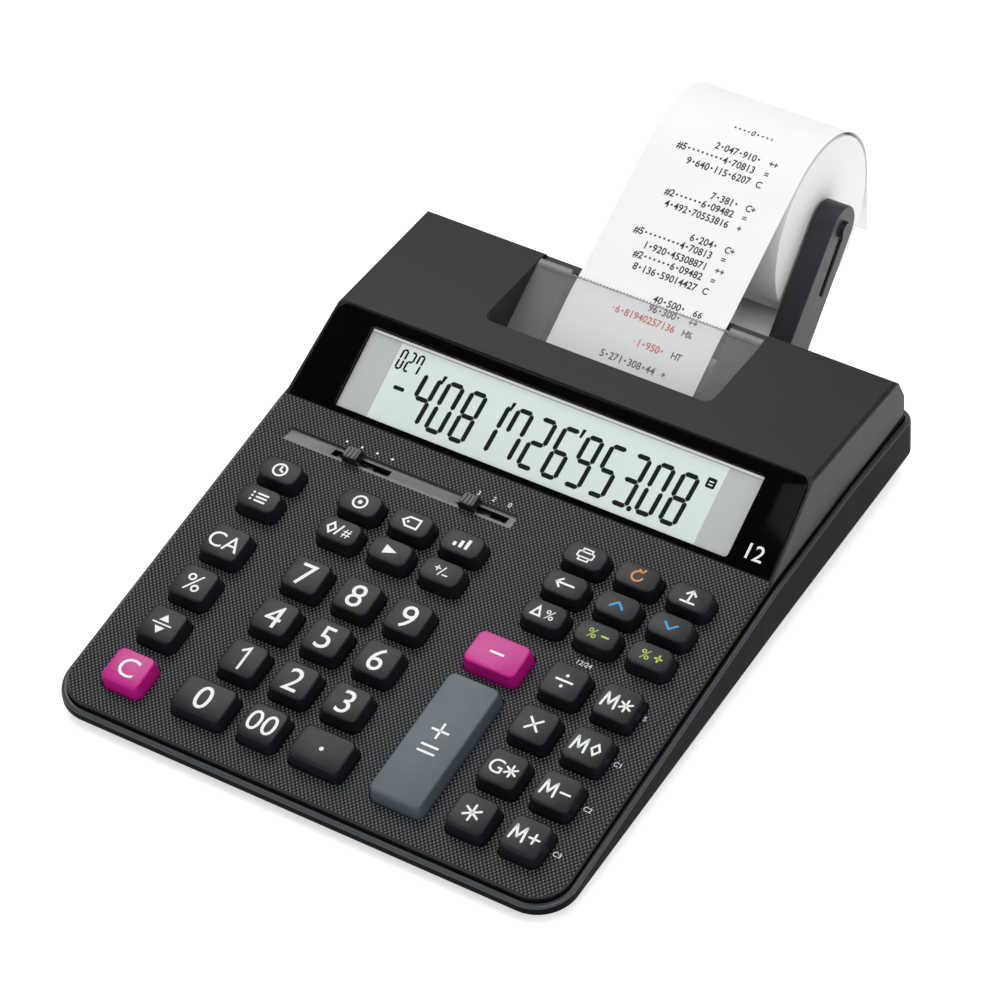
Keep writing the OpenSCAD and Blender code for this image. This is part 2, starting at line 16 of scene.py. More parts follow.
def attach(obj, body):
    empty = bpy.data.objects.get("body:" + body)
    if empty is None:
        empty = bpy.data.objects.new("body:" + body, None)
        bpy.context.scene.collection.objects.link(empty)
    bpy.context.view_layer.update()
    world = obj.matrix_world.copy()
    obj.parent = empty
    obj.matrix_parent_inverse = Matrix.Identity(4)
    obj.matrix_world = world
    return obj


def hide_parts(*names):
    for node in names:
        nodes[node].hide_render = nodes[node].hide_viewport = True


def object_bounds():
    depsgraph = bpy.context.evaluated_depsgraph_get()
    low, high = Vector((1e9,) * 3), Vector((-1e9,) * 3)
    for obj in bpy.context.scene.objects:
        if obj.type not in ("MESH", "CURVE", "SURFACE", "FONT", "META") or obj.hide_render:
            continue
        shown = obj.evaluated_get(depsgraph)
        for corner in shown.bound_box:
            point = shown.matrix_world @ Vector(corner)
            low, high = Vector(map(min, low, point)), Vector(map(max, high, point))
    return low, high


MM = 0.001

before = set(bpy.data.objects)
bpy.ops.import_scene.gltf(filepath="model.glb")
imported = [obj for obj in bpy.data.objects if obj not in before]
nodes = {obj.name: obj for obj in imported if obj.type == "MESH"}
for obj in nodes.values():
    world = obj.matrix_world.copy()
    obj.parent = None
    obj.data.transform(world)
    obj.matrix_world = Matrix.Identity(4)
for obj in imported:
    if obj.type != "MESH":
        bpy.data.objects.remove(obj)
cad_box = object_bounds()

# ---------------------------------------------------------------- frames
REAR_END = 330.9
MIDDLE_Y = REAR_END - cad_box[1].y / MM
DECK_SLOPE = math.radians(6.94)
SCREEN_SLOPE = math.radians(28.3)
COVER_SLOPE = math.radians(29.4)
DECK_START = (0, 10.3)
SCREEN_START = (145.4, 28.0)
SCREEN_LENGTH = 37.5
HOOD_REAR = (234.4, 42.1)

CASE = Matrix.Scale(MM, 4) @ Matrix.Translation((0, -MIDDLE_Y, 0))
DECK = CASE @ Matrix.Translation((0, *DECK_START)) @ Matrix.Rotation(DECK_SLOPE, 4, "X")
SCREEN = CASE @ Matrix.Translation((0, *SCREEN_START)) @ Matrix.Rotation(SCREEN_SLOPE, 4, "X")
DECK_INVERSE = DECK.inverted()
CASE_INVERSE = CASE.inverted()
HOOD_FRONT = (
    SCREEN_START[0] + SCREEN_LENGTH * math.cos(SCREEN_SLOPE),
    DECK_START[1] + SCREEN_START[0] * math.tan(DECK_SLOPE) + SCREEN_LENGTH * math.sin(SCREEN_SLOPE),
)
HOOD_LINE = (HOOD_FRONT, HOOD_REAR)

# Half width, front, rear, front corner radius and rear corner radius of the two half cases
LOWER_PLAN = (96.5, 4.9, 240.9, 14.0, 7.0)
UPPER_PLAN = (94.2, 7.0, 238.6, 11.7, 4.7)
RIM_DROP = 2.2
RIM_LINE = ((145.4, 25.8), (196.0, 27.2), (240.9, 24.3))


# ---------------------------------------------------------------- node materials
class Shader:
    """A Principled material with a few procedural helpers."""

    def __init__(self, name, color, roughness, specular=0.5, **sockets):
        self.material = bpy.data.materials.new(name)
        self.material.use_nodes = True
        self.tree = self.material.node_tree
        self.bsdf = self.tree.nodes["Principled BSDF"]
        self.bsdf.inputs["Base Color"].default_value = (*color, 1)
        self.bsdf.inputs["Roughness"].default_value = roughness
        self.bsdf.inputs["Specular IOR Level"].default_value = specular
        for key, value in sockets.items():
            self.bsdf.inputs[key.replace("_", " ")].default_value = value
        self.coords = self.node("ShaderNodeTexCoord").outputs["Object"]
        self.height = None

    def node(self, kind, **settings):
        made = self.tree.nodes.new(kind)
        for key, value in settings.items():
            setattr(made, key, value)
        return made

    def link(self, output, target):
        self.tree.links.new(output, target)

    def mapped(self, rotation=(0, 0, 0), scale=(1, 1, 1), location=(0, 0, 0)):
        mapping = self.node("ShaderNodeMapping")
        mapping.inputs["Rotation"].default_value = rotation
        mapping.inputs["Scale"].default_value = scale
        mapping.inputs["Location"].default_value = location
        self.link(self.coords, mapping.inputs["Vector"])
        return mapping.outputs["Vector"]

    def noise(self, scale, detail=2.0, vector=None):
        made = self.node("ShaderNodeTexNoise")
        made.inputs["Scale"].default_value = scale
        made.inputs["Detail"].default_value = detail
        self.link(vector or self.coords, made.inputs["Vector"])
        return made.outputs["Fac"]

    def math(self, operation, *operands):
        made = self.node("ShaderNodeMath", operation=operation)
        for socket, value in zip(made.inputs, operands):
            if isinstance(value, (int, float)):
                socket.default_value = value
            else:
                self.link(value, socket)
        return made.outputs["Value"]

    def wave(self, value, period):
        """Sine of a length, with its period in millimetres."""
        return self.math("SINE", self.math("MULTIPLY", value, 2 * math.pi / (period * MM)))

    def axes(self, vector):
        split = self.node("ShaderNodeSeparateXYZ")
        self.link(vector, split.inputs["Vector"])
        return split.outputs

    def ramp(self, factor, *stops):
        made = self.node("ShaderNodeValToRGB")
        elements = made.color_ramp.elements
        while len(elements) < len(stops):
            elements.new(0.5)
        for element, (position, color) in zip(elements, stops):
            element.position = position
            element.color = (*color, 1)
        self.link(factor, made.inputs["Fac"])
        return made.outputs["Color"]

    def colour(self, factor, *stops):
        self.link(self.ramp(factor, *stops), self.bsdf.inputs["Base Color"])
        return self

    def rough(self, factor, low, high):
        made = self.node("ShaderNodeMapRange")
        made.inputs["To Min"].default_value = low
        made.inputs["To Max"].default_value = high
        self.link(factor, made.inputs["Value"])
        self.link(made.outputs["Result"], self.bsdf.inputs["Roughness"])
        return self

    def bump(self, height, depth, strength=1.0):
        made = self.node("ShaderNodeBump")
        made.inputs["Distance"].default_value = depth * MM
        made.inputs["Strength"].default_value = strength
        self.link(height, made.inputs["Height"])
        if self.height is not None:
            self.link(self.height, made.inputs["Normal"])
        self.height = made.outputs["Normal"]
        self.link(self.height, self.bsdf.inputs["Normal"])
        return self


def shades(color, spread):
    """Two stops around a colour, for a faint mottling."""
    low = tuple(c * (1 - spread) for c in color)
    high = tuple(c * (1 + spread) for c in color)
    return (0.3, low), (0.7, high)


def moulded(name, color, roughness, grain=0.02, grain_size=0.3, specular=0.5, **sockets):
    """Moulded plastic: a fine eroded grain, faint mottling, and a slightly uneven gloss."""
    made = Shader(name, color, roughness, specular, **sockets)
    made.colour(made.noise(60, 3), *shades(color, 0.06))
    made.rough(made.noise(180, 3), roughness - 0.05, roughness + 0.05)
    made.bump(made.noise(1 / (grain_size * MM), 2), grain, 0.6)
    return made.material


def weave_material():
    """The key deck: rows of small raised dashes, each row half a dash out of step with the next."""
    made = Shader("deck_weave", (0.05, 0.055, 0.06), 0.42, 0.15)
    axes = made.axes(made.mapped(rotation=(-DECK_SLOPE, 0, 0)))
    across = made.wave(axes["X"], WEAVE_X)
    along = made.wave(axes["Y"], 2 * WEAVE_V)
    height = made.math("MULTIPLY_ADD", made.math("MULTIPLY", across, along), 0.5, 0.5)
    # The colour follows the dash height: painted shade in the gaps between dashes and a painted highlight on
    # the dash tops.
    made.colour(
        height,
        (0.36, (0.0015, 0.002, 0.0025)),
        (0.62, (0.026, 0.029, 0.032)),
        (0.85, (0.125, 0.132, 0.137)),
    )
    made.rough(made.noise(900, 2), 0.4, 0.56)
    made.bump(height, 0.16, 0.7)
    return made.material


def paper_material(name, color):
    made = Shader(name, color, 0.82, 0.25)
    made.colour(made.noise(45, 3), *shades(color, 0.012))
    made.bump(made.noise(2200, 3), 0.012, 0.5)
    return made.material


def roll_material():
    """The ends of the wound roll: fine rings about its axis."""
    made = Shader("roll_paper", (0.86, 0.86, 0.85), 0.85, 0.2)
    centre = CASE @ Vector((0, *ROLL_CENTRE))
    axes = made.axes(made.mapped(location=(0, -centre.y, -centre.z)))
    squares = [made.math("POWER", axes[name], 2) for name in "YZ"]
    radius = made.math("SQRT", made.math("ADD", *squares))
    rings = made.math("MULTIPLY_ADD", made.wave(radius, RING_PITCH), 0.25, 0.5)
    mixed = made.math("MULTIPLY", rings, made.noise(900, 4, radius))
    made.colour(mixed, (0.1, (0.80, 0.80, 0.79)), (0.5, (0.88, 0.88, 0.875)))
    made.bump(mixed, 0.03, 0.6)
    return made.material


def brushed_material(name, color, roughness, stretch):
    """Rolled or turned metal: scratches drawn out along one axis."""
    made = Shader(name, color, roughness, 0.5, Metallic=1.0)
    streaks = made.noise(1, 3, made.mapped(scale=stretch))
    made.colour(streaks, *shades(color, 0.1))
    made.rough(streaks, roughness - 0.08, roughness + 0.1)
    made.bump(streaks, 0.01, 0.5)
    return made.material


def clear_material(name, color, alpha, roughness, specular=0.5):
    made = Shader(name, color, roughness, specular, Alpha=alpha)
    made.rough(made.noise(120, 3), roughness * 0.8, roughness * 1.2)
    made.material.surface_render_method = "BLENDED"
    return made.material


def board_material():
    """Solder mask with thin copper tracks under it."""
    made = Shader("board_green", (0.02, 0.12, 0.05), 0.35, 0.5)
    brick = made.node("ShaderNodeTexBrick")
    brick.inputs["Scale"].default_value = 260
    colours = {"Color1": (0.015, 0.10, 0.04), "Color2": (0.02, 0.13, 0.05), "Mortar": (0.05, 0.22, 0.09)}
    for name, color in colours.items():
        brick.inputs[name].default_value = (*color, 1)
    made.link(made.coords, brick.inputs["Vector"])
    made.link(brick.outputs["Color"], made.bsdf.inputs["Base Color"])
    made.bump(brick.outputs["Fac"], 0.02, 0.5)
    return made.material


def panel_material(name, color, gloss=0.25, specular=0.35):
    """A printed or polarised film: nearly even, with a very faint gradient across it."""
    made = Shader(name, color, gloss, specular)
    made.colour(made.noise(22, 1), *shades(color, 0.015))
    made.bump(made.noise(1500, 1), 0.004, 0.3)
    return made.material


# Pitch of the deck's dashes across and up the slope, and of the rings on the roll's ends
WEAVE_X = 1.55
WEAVE_V = 0.95
RING_PITCH = 0.55
ROLL_CENTRE = (297, 35.8)

M = {
    "shell": moulded("shell_charcoal", (0.013, 0.0145, 0.016), 0.40, grain=0.008, specular=0.28),
    # A darker, nearly unglossy copy of the shell charcoal for side walls and underside: painted shade.
    "shell_low": moulded("shell_charcoal_painted_shade", (0.0035, 0.0042, 0.0048), 0.45, grain=0.010, specular=0.02),
    # A lighter, glossier copy of the charcoal for the lower case's upward-facing rim: painted light.
    "rim": moulded("shell_rim_painted_light", (0.042, 0.046, 0.050), 0.36, grain=0.008, specular=0.4),
    "strip": moulded("strip_grey", (0.115, 0.117, 0.12), 0.40, grain=0.006),
    "weave": weave_material(),
    "key": moulded("key_charcoal", (0.0085, 0.0094, 0.0115), 0.33, grain=0.006, specular=0.20),
    "magenta": moulded("key_magenta", (0.47, 0.006, 0.21), 0.30, grain=0.005, specular=0.3),
    "slate": moulded("key_slate", (0.078, 0.100, 0.116), 0.36, grain=0.006, specular=0.3),
    "switch": moulded("switch_black", (0.008, 0.0085, 0.009), 0.35, grain=0.006),
    "holder": moulded("holder_black", (0.016, 0.0185, 0.022), 0.42, grain=0.012, specular=0.35),
    "lens": moulded("lens_black", (0.001, 0.001, 0.0012), 0.10, grain=0.0002, grain_size=8, specular=0.04),
    "window": clear_material("lens_window", (0.5, 0.52, 0.52), 0.01, 0.08, 0.05),
    "mint": panel_material("lcd_mint", (0.70, 0.79, 0.765)),
    "bar": panel_material("lcd_bar", (0.50, 0.51, 0.51)),
    # Near-white strip along the LCD's top edge: a painted highlight where the glass edge catches light.
    "light": panel_material("lcd_edge_highlight", (0.93, 0.95, 0.95)),
    "line": panel_material("lcd_line", (0.30, 0.32, 0.32)),
    "segment": panel_material("lcd_segment", (0.002, 0.004, 0.005), 0.7, 0.05),
    "cover": clear_material("cover_smoke", (0.62, 0.63, 0.64), 0.14, 0.16),
    "cover_edge": clear_material("cover_smoke_edge", (0.25, 0.26, 0.27), 0.55, 0.2),
    "paper": paper_material("paper_white", (0.90, 0.90, 0.895)),
    "roll": roll_material(),
    "core": paper_material("core_card", (0.62, 0.58, 0.52)),
    "ink_black": panel_material("print_black", (0.035, 0.035, 0.045), 0.7),
    "ink_red": panel_material("print_red", (0.62, 0.075, 0.085), 0.7),
    "white": panel_material("sign_white", (0.80, 0.81, 0.82), 0.45),
    "cyan": panel_material("sign_cyan", (0.02, 0.30, 0.62), 0.45),
    "orange": panel_material("sign_orange", (0.72, 0.27, 0.05), 0.45),
    "lime": panel_material("sign_lime", (0.40, 0.55, 0.06), 0.45),
    "rubber": moulded("rubber_black", (0.012, 0.012, 0.012), 0.75, grain=0.05, grain_size=0.5),
    "platen": moulded("platen_rubber", (0.018, 0.018, 0.018), 0.6, grain=0.03, grain_size=0.4),
    "mat": moulded("silicone_grey", (0.17, 0.17, 0.18), 0.6, grain=0.02, grain_size=0.6),
    "felt": moulded("ink_felt", (0.05, 0.015, 0.07), 0.9, grain=0.12, grain_size=0.25),
    "steel": brushed_material("zinc_steel", (0.55, 0.55, 0.56), 0.35, (60, 2200, 2200)),
    "screw": brushed_material("screw_black", (0.10, 0.10, 0.105), 0.4, (900, 900, 200)),
    "board": board_material(),
}


# ---------------------------------------------------------------- mesh helpers
def piece(name, bm, body, materials, matrix=None, sharp=32):
    """Turns a bmesh into a piece that rides on a body."""
    if matrix is not None:
        bmesh.ops.transform(bm, matrix=matrix, verts=bm.verts)
    bmesh.ops.recalc_face_normals(bm, faces=bm.faces)
    mesh = bpy.data.meshes.new(name)
    bm.to_mesh(mesh)
    bm.free()
    for material in materials:
        mesh.materials.append(M[material])
    for polygon in mesh.polygons:
        polygon.use_smooth = True
    mesh.set_sharp_from_angle(angle=math.radians(sharp))
    made = bpy.data.objects.new(name, mesh)
    bpy.context.scene.collection.objects.link(made)
    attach(made, body)
    return made


def circle(x, y, r, steps=24, start=0.0, turn=2 * math.pi):
    """Points of a circle or an arc."""
    last = steps if abs(turn) >= 2 * math.pi - 1e-6 else steps - 1
    angles = [start + turn * i / last for i in range(steps)]
    return [(x + r * math.cos(a), y + r * math.sin(a)) for a in angles]


def rounded(x0, x1, y0, y1, r, steps=5):
    """Outline of a rounded rectangle."""
    corners = ((x1 - r, y1 - r), (x0 + r, y1 - r), (x0 + r, y0 + r), (x1 - r, y0 + r))
    points = []
    for quarter, (cx, cy) in enumerate(corners):
        for i in range(steps + 1):
            a = math.radians(90 * quarter + 90 * i / steps)
            points.append((cx + r * math.cos(a), cy + r * math.sin(a)))
    return points


def flat_solid(bm, loops, z0, z1, index=0):
    """Closed solid between two heights; the first loop is the outline, the rest are holes."""
    edges = []
    for loop in loops:
        ring = [bm.verts.new((x, y, z1)) for x, y in loop]
        edges += [bm.edges.new((a, b)) for a, b in zip(ring, ring[1:] + ring[:1])]
    filled = bmesh.ops.triangle_fill(bm, use_beauty=True, use_dissolve=False, edges=edges)
    faces = [g for g in filled["geom"] if isinstance(g, bmesh.types.BMFace)]
    made = bmesh.ops.extrude_face_region(bm, geom=faces)
    moved = [g for g in made["geom"] if isinstance(g, bmesh.types.BMVert)]
    bmesh.ops.translate(bm, verts=moved, vec=(0, 0, z0 - z1))
    sides = [g for g in made["geom"] if isinstance(g, bmesh.types.BMFace)]
    touched = {f for f in faces + sides if f.is_valid}
    for vert in moved:
        touched.update(vert.link_faces)
    for face in touched:
        face.material_index = index
    return {v for face in touched for v in face.verts}


def stroke_outline(points, width):
    """Outline of a line of one width, with round ends."""
    half = width / 2
    left, right = [], []
    last = len(points) - 1
    for i, point in enumerate(points):
        before = Vector(points[max(i - 1, 0)])
        after = Vector(points[min(i + 1, last)])
        here = Vector(point)
        d0 = (here - before).normalized() if i else (after - here).normalized()
        d1 = (after - here).normalized() if i < last else d0
        mean = (d0 + d1).normalized()
        normal = Vector((-mean.y, mean.x)) * half / max(0.5, mean.dot(d0))
        left.append(here + normal)
        right.append(here - normal)
    first = Vector(points[0]) - Vector(points[1])
    final = Vector(points[last]) - Vector(points[last - 1])
    start_angle = math.atan2(first.y, first.x)
    end_angle = math.atan2(final.y, final.x)
    end_cap = circle(*points[last], half, 6, end_angle + math.pi / 2, -math.pi)[1:-1]
    start_cap = circle(*points[0], half, 6, start_angle + math.pi / 2, -math.pi)[1:-1]
    return [tuple(p) for p in left] + end_cap + [tuple(p) for p in reversed(right)] + start_cap


def band(points, width):
    """Outer and inner outline of a closed line of one width."""
    loops = ([], [])
    count = len(points)
    for i, point in enumerate(points):
        here = Vector(point)
        d0 = (here - Vector(points[i - 1])).normalized()
        d1 = (Vector(points[(i + 1) % count]) - here).normalized()
        mean = (d0 + d1).normalized()
        normal = Vector((mean.y, -mean.x)) * width / 2 / max(0.4, mean.dot(d0))
        loops[0].append(tuple(here + normal))
        loops[1].append(tuple(here - normal))
    return loops


def loft(bm, rings, index=0):
    """Skin through rings of equal length, closed at both ends."""
    layers = [[bm.verts.new(p) for p in ring] for ring in rings]
    count = len(rings[0])
    faces = [bm.faces.new(list(reversed(layers[0]))), bm.faces.new(layers[-1])]
    for low, high in zip(layers, layers[1:]):
        for i in range(count):
            j = (i + 1) % count
            faces.append(bm.faces.new((low[i], low[j], high[j], high[i])))
    for face in faces:
        face.material_index = index


def lathe(bm, profile, steps=64, index=0):
    """Closed solid turned about the x axis; the profile is a closed outline of (x, r)."""
    rings = []
    for i in range(steps):
        a = 2 * math.pi * i / steps
        rings.append([bm.verts.new((x, r * math.cos(a), r * math.sin(a))) for x, r in profile])
    count = len(profile)
    for j in range(steps):
        here, there = rings[j], rings[(j + 1) % steps]
        for i in range(count):
            k = (i + 1) % count
            bm.faces.new((here[i], here[k], there[k], there[i])).material_index = index


def extruded(bm, outline, x0, x1, index=0):
    """Closed solid from a (y, z) outline, drawn out along x."""
    for vert in flat_solid(bm, [outline], x0, x1, index):
        y, z, x = vert.co
        vert.co = (x, y, z)


def box(bm, x0, y0, x1, y1, z0, z1, index=0):
    flat_solid(bm, [[(x0, y0), (x1, y0), (x1, y1), (x0, y1)]], z0, z1, index)


def text_mesh(text, height, weight, thickness=0.05):
    """Mesh of some characters: centred across, standing on y = 0."""
    curve = bpy.data.curves.new("lettering", "FONT")
    curve.body = text
    curve.align_x = "CENTER"
    curve.extrude = thickness / 2 / height
    curve.offset = weight
    curve.resolution_u = 4
    holder = bpy.data.objects.new("lettering", curve)
    bpy.context.scene.collection.objects.link(holder)
    bpy.context.view_layer.update()
    evaluated = holder.evaluated_get(bpy.context.evaluated_depsgraph_get())
    mesh = bpy.data.meshes.new_from_object(evaluated)
    bpy.data.objects.remove(holder)
    bpy.data.curves.remove(curve)
    return mesh


def cap_height():
    """Height of a digit of the font at size one."""
    mesh = text_mesh("0", 1, 0)
    heights = [v.co.y for v in mesh.vertices]
    bpy.data.meshes.remove(mesh)
    return max(heights) - min(heights)


def add_text(bm, text, height, x=0.0, y=0.0, z=0.0, weight=0.0, index=0, widen=1.0):
    """Adds characters of one cap height, centred on (x, y)."""
    scale = height / CAP_HEIGHT
    mesh = text_mesh(text, scale, weight)
    middle = (min(v.co.x for v in mesh.vertices) + max(v.co.x for v in mesh.vertices)) / 2
    for vert in mesh.vertices:
        flat = vert.co * scale
        vert.co = (x + (flat.x - middle * scale) * widen, y + flat.y - height / 2, z + flat.z)
    for polygon in mesh.polygons:
        polygon.material_index = index
    letters = bmesh.new()
    letters.from_mesh(mesh)
    bmesh.ops.remove_doubles(letters, verts=letters.verts, dist=1e-4)
    letters.to_mesh(mesh)
    letters.free()
    bm.from_mesh(mesh)
    bpy.data.meshes.remove(mesh)


CAP_HEIGHT = cap_height()


# ---------------------------------------------------------------- rounded copies of CAD nodes
def soft_copy(node, name, body, materials, groups, paint=None):
    """A copy of a CAD node with some of its edges rounded, which stands for it.

    groups holds (radius, segments, least angle in degrees, test), in the order they are rounded. The test
    gets the edge's middle in the case frame and the edge."""
    bm = bmesh.new()
    bm.from_mesh(nodes[node].data)
    bmesh.ops.transform(bm, matrix=CASE_INVERSE, verts=bm.verts)
    bmesh.ops.remove_doubles(bm, verts=bm.verts, dist=0.002)
    bmesh.ops.dissolve_limit(
        bm, angle_limit=math.radians(0.4), use_dissolve_boundaries=False, verts=bm.verts, edges=bm.edges
    )
    for radius, segments, least, test in groups:
        bm.normal_update()
        chosen = [
            e
            for e in bm.edges
            if len(e.link_faces) == 2
            and e.is_convex
            and e.calc_face_angle() > math.radians(least)
            and test((e.verts[0].co + e.verts[1].co) / 2, e)
        ]
        bmesh.ops.bevel(
            bm, geom=chosen, offset=radius, offset_type="OFFSET", segments=segments, profile=0.5,
            affect="EDGES", clamp_overlap=False,
        )
    bm.normal_update()
    for face in bm.faces:
        face.material_index = paint(face) if paint else 0
    made = piece(name, bm, body, materials, CASE)
    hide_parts(node)
    weighted = made.modifiers.new("even_shading", "WEIGHTED_NORMAL")
    weighted.keep_sharp = True
    return made


def deck_height(point):
    return point.z - DECK_START[1] - point.y * math.tan(DECK_SLOPE)


def screen_height(point):
    return point.z - SCREEN_START[1] - (point.y - SCREEN_START[0]) * math.tan(SCREEN_SLOPE)


def line_height(point, start, end):
    """Height over the line through two (y, z) points."""
    return point.z - start[1] - (point.y - start[0]) * (end[1] - start[1]) / (end[0] - start[0])


def hood_height(point):
    return line_height(point, *HOOD_LINE)


def rim_height(point):
    front, middle, rear = RIM_LINE
    if point.y < front[0]:
        return deck_height(point) + RIM_DROP
    if point.y < middle[0]:
        return line_height(point, front, middle)
    return line_height(point, middle, rear)


def depth_inside(point, plan):
    """Distance of a point inward from a half case's outline, seen from above."""
    half, y0, y1, r0, r1 = plan
    x = abs(point.x)
    if x > half - r0 and point.y < y0 + r0:
        return r0 - math.hypot(x - half + r0, point.y - y0 - r0)
    if x > half - r1 and point.y > y1 - r1:
        return r1 - math.hypot(x - half + r1, point.y - y1 + r1)
    return min(half - x, point.y - y0, y1 - point.y)


# Where the edges of the upper case lie, for picking them out
SIDE_FROM = 91
SCREEN_TOP = 178
WELL_FRONT = 193
WELL_REAR = 234
WELL_HALF = 44.3
TRACK = (128, 136)


def upper_case():
    """Deck, bezel and hood."""

    def on_hood_outside(p, e):
        return abs(hood_height(p)) < 0.1 and (abs(p.x) > SIDE_FROM or p.y > WELL_REAR)

    def on_bezel_side(p, e):
        return abs(screen_height(p)) < 0.1 and abs(p.x) > SIDE_FROM and p.y < SCREEN_TOP

    def on_well(p, e):
        return abs(hood_height(p)) < 0.1 and abs(p.x) < WELL_HALF and WELL_FRONT < p.y < WELL_REAR

    def on_deck_edge(p, e):
        return abs(deck_height(p)) < 0.2 and depth_inside(p, UPPER_PLAN) < 0.1

    def paint(face):
        spot = face.calc_center_median()
        middle = DECK_INVERSE @ (CASE @ spot)
        normal = DECK_INVERSE.to_3x3() @ (CASE.to_3x3() @ face.normal)
        normal.normalize()
        on_deck = abs(middle.z) < 0.05 and normal.z > 0.999
        in_track = -1.3 < middle.z < 0.02 and normal.z > 0.9 and TRACK[0] < middle.y < TRACK[1]
        on_wall = abs(face.normal.z) < 0.1 and depth_inside(spot, UPPER_PLAN) < 0.3
        if on_deck:
            return 1
        if in_track and abs(normal.x) < 0.1:
            return 2
        # Side walls take the darker copy of the hood's charcoal: painted shade.
        return 3 if on_wall else 0

    groups = (
        (1.4, 4, 20, on_hood_outside),
        (0.35, 2, 20, on_bezel_side),
        (0.4, 3, 30, on_well),
        (0.5, 2, 30, on_deck_edge),
    )
    looks = ("shell", "weave", "strip", "shell_low")
    soft_copy("upper_case", "upper_shell", "case", looks, groups, paint)


def lower_case():
    """Rim, side walls and tub."""

    def on_rim_outside(p, e):
        return abs(rim_height(p)) < 0.15 and depth_inside(p, LOWER_PLAN) < 0.1

    def on_skirt(p, e):
        return 4.5 < p.z < 10.5 and depth_inside(p, LOWER_PLAN) < 0.1

    def paint(face):
        # Upward-facing faces along the rim get the lighter rim charcoal (painted light); the rest gets the
        # darker wall charcoal (painted shade).
        return 1 if face.normal.z > 0.3 and abs(rim_height(face.calc_center_median())) < 1.2 else 0

    groups = (
        (1.1, 4, 30, on_rim_outside),
        (0.6, 2, 30, on_skirt),
    )
    soft_copy("lower_case", "lower_shell", "case", ("shell_low", "rim"), groups, paint)


SWITCHES = ("switch_mode", "switch_rounding")


def small_mouldings():
    """Roll holder, switch knobs, battery door and feet, each rounded in one way."""

    def mould(node, name, body, slot, look, radius, test):
        soft_copy(node, name, body, (look,), ((radius, 2, 40, test),))

    mould("roll_holder", "holder", "case", "holder", "holder", 0.45, lambda p, e: e.calc_length() > 0.6)
    for name in SWITCHES:
        mould(name, name + "_knob", name, "switch", "switch", 0.3, lambda p, e: deck_height(p) > 0.5)
    # The battery door takes the darker wall charcoal: painted shade.
    door = ("battery_cover", "battery_door", "battery_cover", "case_lower", "shell_low")
    mould(*door, 0.25, lambda p, e: True)
    mould("rubber_feet", "feet", "case", "feet", "rubber", 0.3, lambda p, e: p.z < 0.2)


def inner_parts():
    """CAD nodes whose shape is right as it is, and which only get their material."""
    for node, material in (
        ("main_board", "board"),
        ("key_mat", "mat"),
        ("printer_frame", "steel"),
        ("platen_roller", "platen"),
        ("ink_roller", "felt"),
        ("lcd_module", "bar"),
    ):
        target = nodes[node]
        target.data.materials.clear()
        target.data.materials.append(M[material])


# ---------------------------------------------------------------- keys
# How far the keycap's outline reaches beyond its flat top, with the height over the deck
KEY_PROFILE = (
    (3.8, -3.4), (3.8, -2.6), (2.0, -2.6), (2.0, 0.0), (1.72, 1.0), (0.98, 3.6), (0.74, 4.45), (0.56, 4.86),
    (0.28, 5.12), (-0.05, 5.25), (-0.4, 5.3),
)


KEY_TOP = 5.3
TOP_SPREAD = 0.4
KEY_COLOURS = {"c": "magenta", "minus": "magenta", "plus_equals": "slate"}


def top_ring(node):
    """Extent of a node's top in x and v, and its height, in deck coordinates."""
    points = [DECK_INVERSE @ v.co for v in nodes[node].data.vertices]
    top = max(p.z for p in points)
    ring = [p for p in points if p.z > top - 0.05]
    across = [p.x for p in ring]
    along = [p.y for p in ring]
    return min(across), max(across), min(along), max(along), top


def key_cap(node, material):
    """Tapered keycap with a softly rounded top edge and its retaining flange."""
    x0, x1, v0, v1, _ = top_ring(node)
    x, v = (x0 + x1) / 2, (v0 + v1) / 2
    w, d = x1 - x0 + TOP_SPREAD, v1 - v0 + TOP_SPREAD
    corner = 3.0 if d < 10 else 2.2
    bm = bmesh.new()
    rings = []
    for grow, n in KEY_PROFILE:
        half_w, half_d = (w + grow) / 2, (d + grow) / 2
        r = max(corner + 0.3 * grow, 1.0)
        outline = rounded(x - half_w, x + half_w, v - half_d, v + half_d, r, 6)
        rings.append([(px, pv, n) for px, pv in outline])
    loft(bm, rings)
    made = piece(node + "_cap", bm, node, (material,), DECK, 35)
    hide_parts(node)
    return x, v


def arrow(x, y, length, head):
    """Lines of an upright arrow."""
    tip = y + length / 2
    shoulder = tip - head
    return [[(x, y - length / 2), (x, tip)], [(x - head, shoulder), (x, tip), (x + head, shoulder)]]


def turned(points):
    return [(-y, x) for x, y in points]


LINE = 0.74
DIAMOND = [(0, 2.1), (-1.5, 0), (0, -2.1), (1.5, 0)]
DELTA = [(-1.6, -1.7), (1.6, -1.7), (0, 1.8)]


def star(x, y, r):
    """Three lines that cross at one point."""
    paths = []
    for degrees in (30, 90, 150):
        dx, dy = r * math.cos(math.radians(degrees)), r * math.sin(math.radians(degrees))
        paths.append([(x - dx, y - dy), (x + dx, y + dy)])
    return paths


def shifted(points, x, y=0.0):
    return [(px + x, py + y) for px, py in points]


def texts(*items):
    return [("text", *item) for item in items]


def lines(width, *paths):
    return [("line", width, path) for path in paths]


def bands(width, *outlines):
    return [("band", width, outline) for outline in outlines]


def solids(*outlines):
    return [("solid", outline) for outline in outlines]


def letter_m():
    """A capital M, left of the key's middle."""
    x, foot, waist = -2.5, 2.3, 1.75
    points = [(x - foot, -2.6), (x - waist, 2.6), (x, -1.5), (x + waist, 2.6), (x + foot, -2.6)]
    return lines(0.84, *zip(points, points[1:]))


def dash(x0, x1, y=0.0):
    return [(x0, y), (x1, y)]


def post(x, y0, y1):
    return [(x, y0), (x, y1)]


SIGN_COLOURS = {"tax_minus": "lime", "tax_plus": "lime", "up": "cyan", "down": "cyan", "reprint": "orange"}


